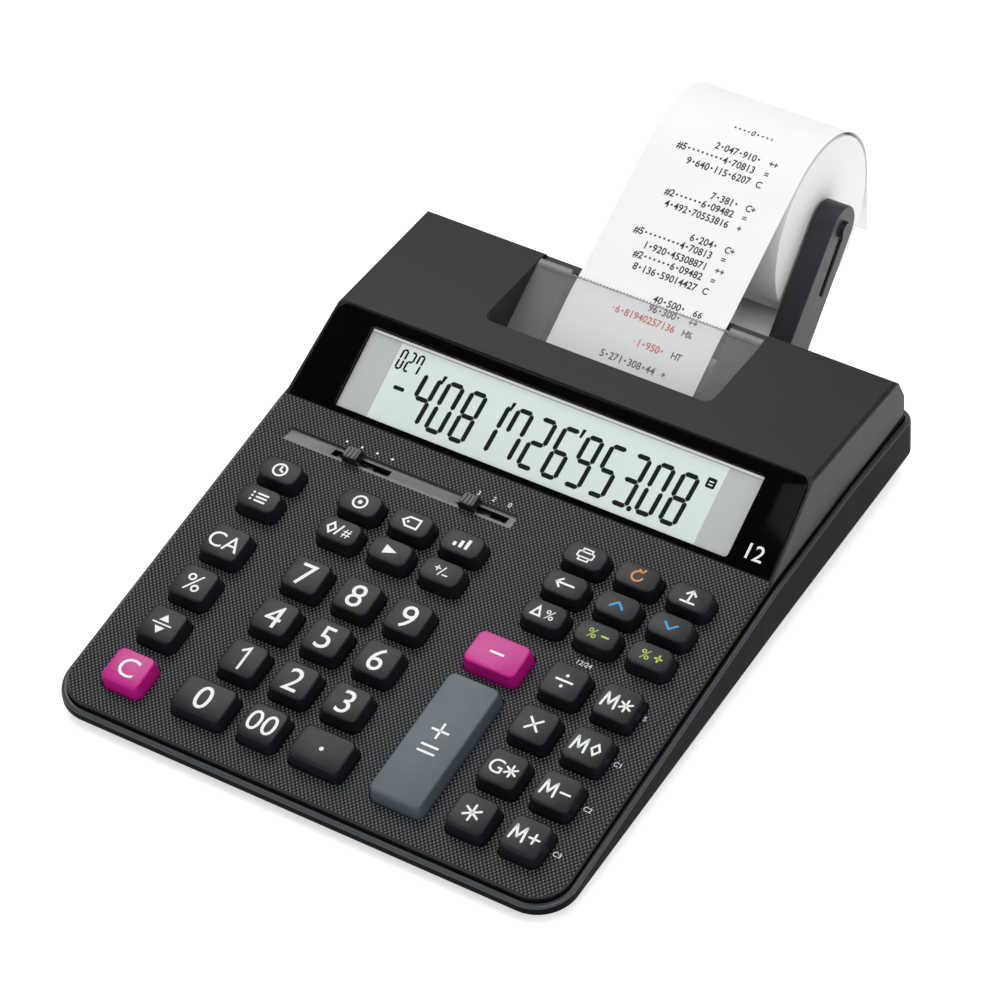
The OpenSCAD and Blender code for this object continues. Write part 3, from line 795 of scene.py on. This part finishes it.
def signs():
    """The marks that are printed on each key, by the key's name."""
    dial = circle(0, 0, 2.4)
    dots = [circle(-2.6, y, 0.45, 12) for y in (1.5, 0, -1.5)]
    wedges = [[(-1.9, 1.1), (1.9, 1.1), (0, 3.9)], [(-1.9, -1.3), (0, -4.1), (1.9, -1.3)]]
    steps = [rounded(x - 0.6, x + 0.6, -2.0, y, 0.2, 2) for x, y in ((-2.2, -0.4), (0, 0.9), (2.2, 2.1))]
    tag = [(-3.0, 0), (-1.2, -1.9), (3.0, -1.9), (3.0, 1.9), (-1.2, 1.9)]
    sheets = [[(-1.7, y), (-1.7, end), (1.7, end), (1.7, y)] for y, end in ((1.1, 2.4), (-1.0, -2.3))]
    turn = circle(0, 0, 2.0, 16, math.radians(60), math.radians(290))
    percent = texts(("%", 3.7, -1.6))
    made = {str(d): texts((str(d), 9.0)) for d in range(10)}
    made.update({
        "00": texts(("00", 7.8)),
        "c": texts(("C", 7.4)),
        "ca": texts(("CA", 6.2)),
        "1": lines(0.95, [(-1.6, 2.7), (0.5, 4.3), (0.5, -4.3)]),
        "point": solids(circle(0, -0.3, 0.75)),
        "percent": texts(("%", 6.9)),
        "mu_md": solids(*wedges) + lines(0.55, dash(-3.4, 3.4, -0.1)),
        "it": lines(LINE, *[dash(-0.9, 2.8, y) for y in (1.5, 0, -1.5)]) + solids(*dots),
        "time": bands(LINE, dial) + lines(LINE, [(0, 1.4), (0, 0), (1.2, -0.5)]),
        "diamond": bands(LINE, shifted(DIAMOND, -2.9)) + lines(LINE, [(-0.7, -2.0), (0.7, 2.0)])
        + texts(("#", 3.6, 3.1)),
        "shift": solids([(-2.2, -1.9), (2.6, 0), (-2.2, 1.9)]),
        "sign": lines(0.5, dash(-2.7, -0.9, 0.9), post(-1.8, 0, 1.8), [(-0.6, -1.6), (0.8, 1.9)],
                      dash(1.0, 2.7, -1.1)),
        "cost": bands(LINE, dial) + solids(circle(0, 0, 0.8, 16)),
        "sell": bands(LINE, tag) + solids(circle(-1.0, 0, 0.5, 12)),
        "margin": solids(*steps),
        "delta": bands(LINE, shifted(DELTA, -2.6)) + texts(("%", 3.7, 2.0)),
        "tax_minus": percent + lines(LINE, dash(1.9, 4.1)),
        "tax_plus": percent + lines(LINE, dash(1.9, 4.3), post(3.1, -1.2, 1.2)),
        "correct": lines(LINE, *[turned(p) for p in arrow(0, 0, 6.4, 1.7)]),
        "up": lines(0.75, [(-2.3, -1.0), (0, 1.2), (2.3, -1.0)]),
        "down": lines(0.75, [(-2.3, 1.0), (0, -1.2), (2.3, 1.0)]),
        "print": bands(0.55, rounded(-2.8, 2.8, -1.0, 1.1, 0.4, 2)) + lines(0.55, *sheets),
        "reprint": lines(0.6, turn, [(-0.6, 2.6), (1.0, 1.75), (1.5, 3.0)]),
        "feed": lines(LINE, *arrow(0, 0.1, 4.6, 1.6), dash(-2.4, 2.4, -2.3)),
        "plus_equals": lines(0.85, dash(-2.9, 2.9, 3.4), post(0, 0.5, 6.3), dash(-2.9, 2.9, -3.0),
                             dash(-2.9, 2.9, -5.6)),
        "minus": lines(0.85, dash(-2.3, 2.3)),
        "divide": lines(0.8, dash(-2.9, 2.9)) + solids(*[circle(0, y, 0.62, 14) for y in (2.2, -2.2)]),
        "times": lines(0.8, [(-2.2, -2.2), (2.2, 2.2)], [(-2.2, 2.2), (2.2, -2.2)]),
        "total": lines(0.8, *star(0, 0, 3.0)),
        "grand_total": texts(("G", 5.4, -2.4)) + lines(LINE, *star(2.9, 0, 2.2)),
        "m_total": letter_m() + lines(LINE, *star(3.1, 0, 2.2)),
        "m_subtotal": letter_m() + bands(LINE, shifted(DIAMOND, 3.1)),
        "m_plus": letter_m() + lines(LINE, dash(1.3, 4.9), post(3.1, -1.8, 1.8)),
        "m_minus": letter_m() + lines(LINE, dash(1.4, 4.8)),
    })
    return made


def draw_marks(bm, marks, x, y, z0, z1):
    """Draws text, lines and filled outlines about a point."""
    for kind, *values in marks:
        if kind == "text":
            string, height, *aside = values
            add_text(bm, string, height, x + (aside[0] if aside else 0), y, (z0 + z1) / 2)
        elif kind == "line":
            flat_solid(bm, [stroke_outline(shifted(values[1], x, y), values[0])], z0, z1)
        elif kind == "band":
            flat_solid(bm, band(shifted(values[1], x, y), values[0]), z0, z1)
        else:
            flat_solid(bm, [shifted(values[0], x, y)], z0, z1)


def keys():
    marks = signs()
    for name in sorted(marks):
        node = "key_" + name
        look = KEY_COLOURS.get(name, "key")
        x, v = key_cap(node, look)
        bm = bmesh.new()
        draw_marks(bm, marks[name], x, v, KEY_TOP - 0.03, KEY_TOP + 0.03)
        piece(node + "_sign", bm, node, (SIGN_COLOURS.get(name, "white"),), DECK)


# ---------------------------------------------------------------- display
LENS_HALF_LOW = 92.8
LENS_HALF_HIGH = 90.7
LENS_LOW = 0.5
LENS_HIGH = 37.0
LENS_R = 4.0
LENS_T = 1.5
WINDOW = (-76.0, 76.0, 2.5, 32.6)


def lens_outline():
    corner = LENS_HALF_HIGH - LENS_R
    right = circle(corner, LENS_HIGH - LENS_R, LENS_R, 9, 0, math.pi / 2)
    left = circle(-corner, LENS_HIGH - LENS_R, LENS_R, 9, math.pi / 2, math.pi / 2)
    return [(-LENS_HALF_LOW, LENS_LOW), (LENS_HALF_LOW, LENS_LOW)] + right + left


def lens():
    """Black printed lens with its clear window and a slim rounded edge."""
    bm = bmesh.new()
    x0, x1, w0, w1 = WINDOW
    flat_solid(bm, [lens_outline(), rounded(x0, x1, w0, w1, 1.4)], -LENS_T, 0)

    def on_outer_edge(e):
        x, w, n = e.verts[0].co
        in_window = abs(x) < x1 + 0.5 and w0 - 0.5 < w < w1 + 0.4
        return n > -0.01 and e.verts[1].co.z > -0.01 and e.calc_face_angle(0) > 0.7 and not in_window

    outer = [e for e in bm.edges if on_outer_edge(e)]
    bmesh.ops.bevel(bm, geom=outer, offset=0.35, segments=2, profile=0.5, affect="EDGES")
    made = piece("lens_bezel", bm, "case", ("lens",), SCREEN)
    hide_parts("display_window")
    bm = bmesh.new()
    inset = 0.05
    clear = rounded(x0 + inset, x1 - inset, w0 + inset, w1 - inset, 1.35)
    flat_solid(bm, [clear], inset - LENS_T, -0.02)
    piece("lens_window", bm, "case", ("window",), SCREEN)
    bm = bmesh.new()
    add_text(bm, "12", 5.4, 84.4, 7.4, 0.0, 0.008)
    piece("lens_digits", bm, "case", ("white",), SCREEN)


SEGMENTS = {
    "0": "abcdef", "1": "bc", "2": "abged", "3": "abgcd", "4": "fgbc", "5": "afgcd", "6": "afgedc",
    "7": "abcf", "8": "abcdefg", "9": "abcdfg",
}


def segment_shapes(w, h, t):
    """Outlines of the seven bars of one digit, w wide and h tall, with bars t thick."""
    half, tip, cut, gap = t / 2, 0.05 * t, 0.5 * t, 0.03 * t
    left, right, low, middle, high = half, w - half, half, h / 2, h - half

    def level(y):
        x0, x1 = left + gap, right - gap
        return [(x0 + cut, y + half), (x1 - cut, y + half), (x1 - tip, y), (x1 - cut, y - half),
                (x0 + cut, y - half), (x0 + tip, y)]

    def upright(x, y0, y1):
        y0, y1 = y0 + gap, y1 - gap
        return [(x - half, y0 + cut), (x, y0 + tip), (x + half, y0 + cut), (x + half, y1 - cut),
                (x, y1 - tip), (x - half, y1 - cut)]

    return {
        "a": level(high), "g": level(middle), "d": level(low),
        "f": upright(left, middle, high), "b": upright(right, middle, high),
        "e": upright(left, low, middle), "c": upright(right, low, middle),
    }


LCD_TOP = -1.72
SLANT = 0.06
DIGIT_X = -51.9
DIGIT_PITCH = 9.04
# The panel's left bar, middle, right bar, a near-white strip along its top edge (a painted highlight) and two
# thin lines: x0, w0, x1, w1 and material
LCD_FIELDS = (
    (-75.6, 2.9, -63.9, 31.0, 1),
    (-63.7, 2.9, 62.9, 31.0, 0),
    (62.95, 2.9, 75.6, 31.0, 1),
    # Near-white strip: a painted highlight along the top edge of the LCD glass.
    (-75.6, 31.35, 75.6, 32.2, 2),
    (-63.9, 2.9, -63.7, 31.0, 3),
    (-75.6, 31.02, 75.6, 31.33, 3),
)


def lcd_mark(bm, *loops):
    flat_solid(bm, loops, LCD_TOP, LCD_TOP + 0.05)


def lcd_digit(bm, char, x, y, w, h, t):
    shapes = segment_shapes(w, h, t)
    for name in SEGMENTS[char]:
        lcd_mark(bm, [(x + px + SLANT * py, y + py) for px, py in shapes[name]])


def lcd():
    """Panel, side bars, a painted highlight along the top edge, and the shown number."""
    bm = bmesh.new()
    for *extent, index in LCD_FIELDS:
        box(bm, *extent, LCD_TOP - 0.08, LCD_TOP, index)
    piece("lcd_panel", bm, "case", ("mint", "bar", "light", "line"), SCREEN)
    bm = bmesh.new()
    for i, char in enumerate("408172695308"):
        lcd_digit(bm, char, DIGIT_X + DIGIT_PITCH * i, 5.6, 6.9, 19.2, 1.65)
    lcd_mark(bm, rounded(-59.4, -55.2, 15.2, 16.6, 0.5, 2))
    for i in (0, 3, 6):
        x = DIGIT_X + DIGIT_PITCH * i + 8.1
        lcd_mark(bm, [(x - 0.5, 22.4), (x + 0.3, 22.4), (x + 1.0, 25.6), (x - 0.3, 25.6)])
    lcd_mark(bm, circle(DIGIT_X + DIGIT_PITCH * 9 + 7.6, 6.2, 0.95, 16))
    for i, char in enumerate("027"):
        lcd_digit(bm, char, -62.6 + 3.25 * i, 21.9, 2.5, 7.6, 0.75)
    slots = [rounded(58.4, 60.2, y, y + 0.5, 0.1, 1) for y in (24.2, 23.1)]
    lcd_mark(bm, rounded(57.6, 61.0, 22.2, 25.8, 0.6, 3), *slots)
    piece("lcd_digits", bm, "case", ("segment",), SCREEN)


# ---------------------------------------------------------------- paper
PAPER_HALF = 28.75
PAPER_T = 0.3
DRAPE_R = 33.75
WEB_R = 33.05
PLATEN_CENTRE = (209.2, 22.1)
PLATEN_R = 6.45
TEAR_POINT = (234.6, 42.4)
INLET = (240, 12.4)
PAPER_END = (330.75, 7)
COVER_RUN = 22.5


def bearing(c, p):
    return math.atan2(p[1] - c[1], p[0] - c[0])


def tangent_point(p, c, r, side):
    """Where the tangent from p touches a circle."""
    d = math.dist(p, c)
    angle = bearing(p, c) + side * math.asin(r / d)
    reach = math.sqrt(d * d - r * r)
    return p[0] + reach * math.cos(angle), p[1] + reach * math.sin(angle)


def arc(c, r, start, end, steps):
    return circle(*c, r, steps + 1, start, end - start)


def smooth_bend(corner, before, after, cut=2.2, steps=6):
    """A corner of the path, rounded by a short curve."""
    c = Vector(corner)
    a = c + (Vector(before) - c).normalized() * cut
    b = c + (Vector(after) - c).normalized() * cut
    places = [i / steps for i in range(steps + 1)]
    return [tuple(a * (1 - t) ** 2 + c * 2 * t * (1 - t) + b * t * t) for t in places]


def paper_paths():
    """The path before the platen's top, and the path from there over the roll."""
    web = tangent_point(INLET, ROLL_CENTRE, WEB_R, -1)
    under = tangent_point(INLET, PLATEN_CENTRE, PLATEN_R, 1)
    drape = tangent_point(TEAR_POINT, ROLL_CENTRE, DRAPE_R, 1)
    web_angle = bearing(ROLL_CENTRE, web)
    rise = math.pi / 2 + COVER_SLOPE
    over = arc(PLATEN_CENTRE, PLATEN_R, rise, rise, 1)[0]
    lift = arc(over, COVER_RUN, COVER_SLOPE, COVER_SLOPE, 1)[0]
    before = arc(ROLL_CENTRE, WEB_R, web_angle + math.radians(12), web_angle, 6) + [INLET]
    before += arc(PLATEN_CENTRE, PLATEN_R, bearing(PLATEN_CENTRE, under) + 2 * math.pi, rise, 40)
    after = [over] + smooth_bend(lift, over, TEAR_POINT) + smooth_bend(TEAR_POINT, lift, drape)
    after += arc(ROLL_CENTRE, DRAPE_R, bearing(ROLL_CENTRE, drape), 0, 72) + [PAPER_END]
    return before[:-1], after


def ribbon(bm, path, t, half_width):
    """Closed strip of paper along a path in (y, z)."""
    rings = []
    last = len(path) - 1
    for i, point in enumerate(path):
        d = Vector(path[min(i + 1, last)]) - Vector(path[max(i - 1, 0)])
        normal = Vector((-d.y, d.x)).normalized() * t / 2
        a, b = Vector(point) + normal, Vector(point) - normal
        rings.append([(-half_width, *a), (half_width, *a), (half_width, *b), (-half_width, *b)])
    loft(bm, rings)


def paper():
    before, after = paper_paths()
    bm = bmesh.new()
    ribbon(bm, before + after, PAPER_T * 0.6, PAPER_HALF)
    made = piece("paper_web", bm, "case", ("paper",), CASE)
    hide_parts("paper_strip")
    for name, ink, rows in (("print_black", "ink_black", BLACK_ROWS), ("print_red", "ink_red", RED_ROWS)):
        bm = bmesh.new()
        for s, items in rows:
            for text, right, height in items:
                print_run(bm, text, right, s, height)
        bend_along(bm, after, 0.12)
        piece(name, bm, "case", (ink,), CASE)


def print_run(bm, text, right, s, height):
    """One run of characters on a fixed pitch, ending at x = right."""
    for i, char in enumerate(reversed(text)):
        x = right - PRINT_PITCH * (i + 0.5)
        if char in ".-":
            size = 0.42 if char == "." else 0.3
            flat_solid(bm, [circle(x, s, size, 8)], -0.02, 0.02)
        else:
            add_text(bm, char, height, x, s, 0, 0.018, widen=0.92)


def bend_along(bm, path, lift):
    """Wraps a flat drawing (x, s, t) onto the paper's path, a little above it."""
    lengths = [0.0]
    for a, b in zip(path, path[1:]):
        lengths.append(lengths[-1] + math.dist(a, b))
    for vert in bm.verts:
        x, s, t = vert.co
        i = max(j for j in range(len(path) - 1) if lengths[j] <= max(s, 0))
        a, b = Vector(path[i]), Vector(path[i + 1])
        along = (b - a).normalized()
        normal = Vector((-along.y, along.x))
        spot = a + along * (s - lengths[i]) + normal * (lift + t)
        vert.co = (x, spot.x, spot.y)


PRINT_PITCH = 1.78
NUMBER_END = 12.4
NUMBER_SIZE = 2.6
SIGN_END = 19.0
SIGN_SIZE = 2.4


def row(s, number="", sign="", sign_back=0.0, number_back=0.0, size=NUMBER_SIZE):
    """A printed row at s along the path: its runs, each a text, its right end and its height."""
    return s, ((number, NUMBER_END - number_back, size), (sign, SIGN_END - sign_back, SIGN_SIZE))


BLACK_ROWS = (
    row(98.0, "....0....", size=2.3),
    row(88.7, "2.047.910.", "++"),
    row(84.5, "#5........4.70813", "=", 1.6, 0.3),
    row(80.2, "9.640.115.6207", "C", 2.4),
    row(71.0, "7.381.", "C+"),
    row(67.2, "#2......6.09482", "=", 1.6),
    row(63.1, "4.492.70553816", "+", 1.6),
    row(54.6, "6.204.", "C+"),
    row(50.8, "#5........4.70813", "=", 1.6, 0.3),
    row(46.5, "1.920.45308871", "++"),
    row(42.6, "#2......6.09482", "=", 1.6),
    row(38.3, "8.136.59014427", "C", 2.4),
    row(29.6, "40.500.", "66"),
    row(26.0, "96.300.", "++"),
    row(21.6, sign="H%"),
    row(13.1, sign="HT"),
    row(5.6, "5.271.308.44", "+", 2.4),
)
RED_ROWS = (
    row(21.6, "-6.81940257136"),
    row(13.1, "-1.950."),
)
ROLL_R = 32.4
ROLL_HALF = 29.0
CORE_R = 7.8
CORE_OUTER = 9.2


def roll():
    """Wound paper with a card core."""
    bm = bmesh.new()
    half, edge_r = ROLL_HALF, 0.3
    edge = circle(half - edge_r, ROLL_R - edge_r, edge_r, 4, 0, math.pi / 2)
    mirrored = [(-x, y) for x, y in reversed(edge)]
    bore = [(-half, CORE_OUTER), (-half + 0.2, CORE_OUTER), (half - 0.2, CORE_OUTER)]
    lathe(bm, [(half, CORE_OUTER)] + edge + mirrored + bore, 160, 0)
    end, skin = half - 0.1, CORE_OUTER - 0.01
    lathe(bm, [(end, CORE_R), (end, skin), (-end, skin), (-end, CORE_R)], 96, 1)
    matrix = CASE @ Matrix.Translation((0, *ROLL_CENTRE))
    made = piece("roll", bm, "paper_roll", ("roll", "core"), matrix)
    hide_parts("paper_roll")


# ---------------------------------------------------------------- clear cover
COVER_REAR = (228.6, 42.6)
COVER_FRONT = 196.5
COVER_HALF = 43.6
COVER_T = 1.5
COVER_LIP = 2.4
COVER_BEND = 3.4
TEAR_HALF = 31.0
TEETH = 48


def cover_section():
    """The plate with its bent front lip, seen from the side."""
    y1, z1 = COVER_REAR
    slope = math.tan(COVER_SLOPE)
    drop = COVER_T / math.cos(COVER_SLOPE)
    y0, z0 = COVER_FRONT, z1 - slope * (y1 - COVER_FRONT)
    bend_y, bend_z = y0 + COVER_BEND, z0 + slope * COVER_BEND
    upper = [(y0 - 0.6, z0 - 2.2), (y0 + 0.3, z0 - 0.3), (bend_y, bend_z), (y1, z1)]
    lower = [(y1, z1 - drop), (bend_y + 0.4, bend_z + 0.2 - drop), (y0 + 1.3, z0 - 1.6), (y0 + 0.5, z0 - 2.9)]
    return upper + lower


def cover():
    """Clear sloping plate with a bent front lip, two ears and a toothed tear edge."""
    bm = bmesh.new()
    extruded(bm, cover_section(), -COVER_HALF, COVER_HALF)
    made = piece("cover_plate", bm, "printer_cover", ("cover",), CASE)
    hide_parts("printer_cover")
    bm = bmesh.new()
    y1, z1 = COVER_REAR
    start, lip = y1 + 0.01, y1 + COVER_LIP
    ear = [(start, z1 - 1.3), (lip, z1 - 0.9), (lip, z1 - 0.2), (lip - 0.2, z1), (start, z1)]
    for side in (-1, 1):
        extruded(bm, ear, *sorted((side * TEAR_HALF, side * COVER_HALF)))
    step = 2 * TEAR_HALF / TEETH
    outline = [(-TEAR_HALF, start)]
    for i in range(TEETH):
        left = -TEAR_HALF + step * i
        outline += [(left + step / 2, y1 + 0.75), (left + step, y1 + 0.05)]
    outline += [(TEAR_HALF, start)]
    flat_solid(bm, [outline], z1 - 0.75, z1 - 0.05)
    piece("cover_edge", bm, "printer_cover", ("cover_edge",), CASE)


# ---------------------------------------------------------------- small things
SCREWS = ((87.2, 22), (87.2, 148), (80, 221))


def screws():
    """Cross-head screws in the countersunk holes of the tub."""
    bm = bmesh.new()
    for x, y in SCREWS:
        for side in (-1, 1):
            cx = side * x
            flat_solid(bm, [circle(cx, y, 2.15, 32), circle(cx, y, 1.35, 32)], 1.7, 3.1)
            flat_solid(bm, [circle(cx, y, 2.15, 32)], 3.1, 3.6)
            for quarter in range(4):
                a = quarter * math.pi / 2
                corner = circle(cx, y, 1.36, 7, a + 0.28, math.pi / 2 - 0.56)
                inner = (cx + 0.42 * math.cos(a + math.pi / 4), y + 0.42 * math.sin(a + math.pi / 4))
                flat_solid(bm, [[inner] + corner], 1.75, 3.1)
    piece("case_screws", bm, "case", ("screw",), CASE)


def jack_pin():
    """Contact pin in the adapter jack."""
    bm = bmesh.new()
    profile = [(0.0, 0.0001), (0.0, 1.0), (6.6, 1.0), (7.2, 0.6), (7.4, 0.0001)]
    lathe(bm, profile, 24)
    matrix = CASE @ Matrix.Translation((-66, 232.0, 14.8)) @ Matrix.Rotation(math.pi / 2, 4, "Z")
    piece("jack_pin", bm, "case", ("steel",), matrix)


def door_grip():
    """Ribs on the battery cover's underside."""
    bm = bmesh.new()
    for i in range(5):
        y = 150 + 2.2 * i
        flat_solid(bm, [rounded(-12 + i * 0.9, 12 - i * 0.9, y, y + 0.9, 0.4, 3)], 1.0, 1.35)
    # In the darker wall charcoal: painted shade.
    piece("door_grip", bm, "battery_cover", ("shell_low",), CASE)


DECK_MARKS = (
    ("12/24", 55.9, 92.1), ("S", 84.0, 81.9), ("C1", 85.1, 62.7), ("C2", 85.4, 43.8), ("C3", 85.4, 25.0),
)


def deck_marks():
    """Small printed dots and digits above the slide switches, and marks beside keys."""
    bm = bmesh.new()
    for i in range(4):
        x = -63.2 + 6 * i
        flat_solid(bm, [circle(x, 137.4, 0.45, 12)], 0.0, 0.04)
    for i, digit in enumerate("320"):
        add_text(bm, digit, 1.9, -11.4 + 6 * i, 137.6, 0.02)
    for text, x, v in DECK_MARKS:
        add_text(bm, text, 1.8, x, v, 0.02)
    piece("deck_marks", bm, "case", ("white",), DECK)


def switch_ribs():
    """Three grip ribs on each switch knob."""
    for name in SWITCHES:
        x0, x1, v0, v1, top = top_ring(name)
        bm = bmesh.new()
        for dx in (-1.5, 0, 1.5):
            x = (x0 + x1) / 2 + dx
            rib = rounded(x - 0.3, x + 0.3, v0 + 0.5, v1 - 0.5, 0.25, 3)
            flat_solid(bm, [rib], top - 0.05, top + 0.3)
        piece(name + "_ribs", bm, name, ("switch",), DECK)


# ---------------------------------------------------------------- camera, light and floor
CAMERA_ANGLES = (34.919, 44.767, -4.636)
CAMERA_TARGET = (0, 128.0, 30.0)
CAMERA_SHIFT = (0.0018894, 0.0047003)
CAMERA_DISTANCE = 1.45
FOCAL_LENGTH = 159.8
# Name, place, size and power of each lamp
LAMPS = (
    ("lamp_key", (-0.77, 0.75, 1.57), (0.9, 0.9), 14),
    ("lamp_top", (0.5, -0.5, 1.9), (1.2, 1.2), 17),
    ("lamp_front", (-0.6, -1.9, 1.2), (1.2, 0.8), 6),
    ("lamp_right", (1.7, 0.2, 1.0), (0.8, 0.8), 6),
)


def camera():
    azimuth, elevation, tilt = (math.radians(a) for a in CAMERA_ANGLES)
    level = math.cos(elevation)
    back = Vector((math.sin(azimuth) * level, -math.cos(azimuth) * level, math.sin(elevation)))
    right = Vector((math.cos(azimuth), math.sin(azimuth), 0))
    up = back.cross(right)
    across = right * math.cos(tilt) + up * math.sin(tilt)
    upward = up * math.cos(tilt) - right * math.sin(tilt)
    data = bpy.data.cameras.new("camera")
    data.lens = FOCAL_LENGTH
    data.sensor_width = 36
    data.clip_end = 50
    made = bpy.data.objects.new("camera", data)
    shift = across * CAMERA_SHIFT[0] + upward * CAMERA_SHIFT[1]
    made.matrix_world = Matrix((across, upward, back)).transposed().to_4x4()
    made.matrix_world.translation = CASE @ Vector(CAMERA_TARGET) + shift + back * CAMERA_DISTANCE
    bpy.context.scene.collection.objects.link(made)
    bpy.context.scene.camera = made


def area_light(name, spot, size, power):
    """A soft lamp that faces the origin."""
    data = bpy.data.lights.new(name, "AREA")
    data.shape = "RECTANGLE"
    data.size, data.size_y = size
    data.energy = power
    made = bpy.data.objects.new(name, data)
    made.location = spot
    made.rotation_euler = (-Vector(spot)).to_track_quat("-Z", "Y").to_euler()
    bpy.context.scene.collection.objects.link(made)


def floor():
    bm = bmesh.new()
    flat_solid(bm, [rounded(-4, 4, -4, 4, 0.5, 4)], -0.02, -0.0001)
    bmesh.ops.recalc_face_normals(bm, faces=bm.faces)
    mesh = bpy.data.meshes.new("floor")
    bm.to_mesh(mesh)
    bm.free()
    white = {"Emission_Color": (1, 1, 1, 1), "Emission_Strength": 0.55}
    look = Shader("floor_white", (0.95, 0.95, 0.95), 0.9, 0.1, **white)
    look.bump(look.noise(30, 2), 0.1, 0.1)
    mesh.materials.append(look.material)
    made = bpy.data.objects.new("floor", mesh)
    bpy.context.scene.collection.objects.link(made)


def studio():
    """White floor, an even pale sky and soft lamps above and behind."""
    world = bpy.data.worlds.new("studio")
    bpy.context.scene.world = world
    world.use_nodes = True
    sky = world.node_tree.nodes["Background"].inputs
    sky["Color"].default_value = (0.96, 0.98, 1.0, 1)
    sky["Strength"].default_value = 0.28
    for lamp in LAMPS:
        area_light(*lamp)
    floor()
    bpy.context.scene.view_settings.view_transform = "Standard"


camera()
studio()
upper_case()
lower_case()
small_mouldings()
inner_parts()
keys()
lens()
lcd()
paper()
roll()
cover()
screws()
jack_pin()
door_grip()
deck_marks()
switch_ribs()
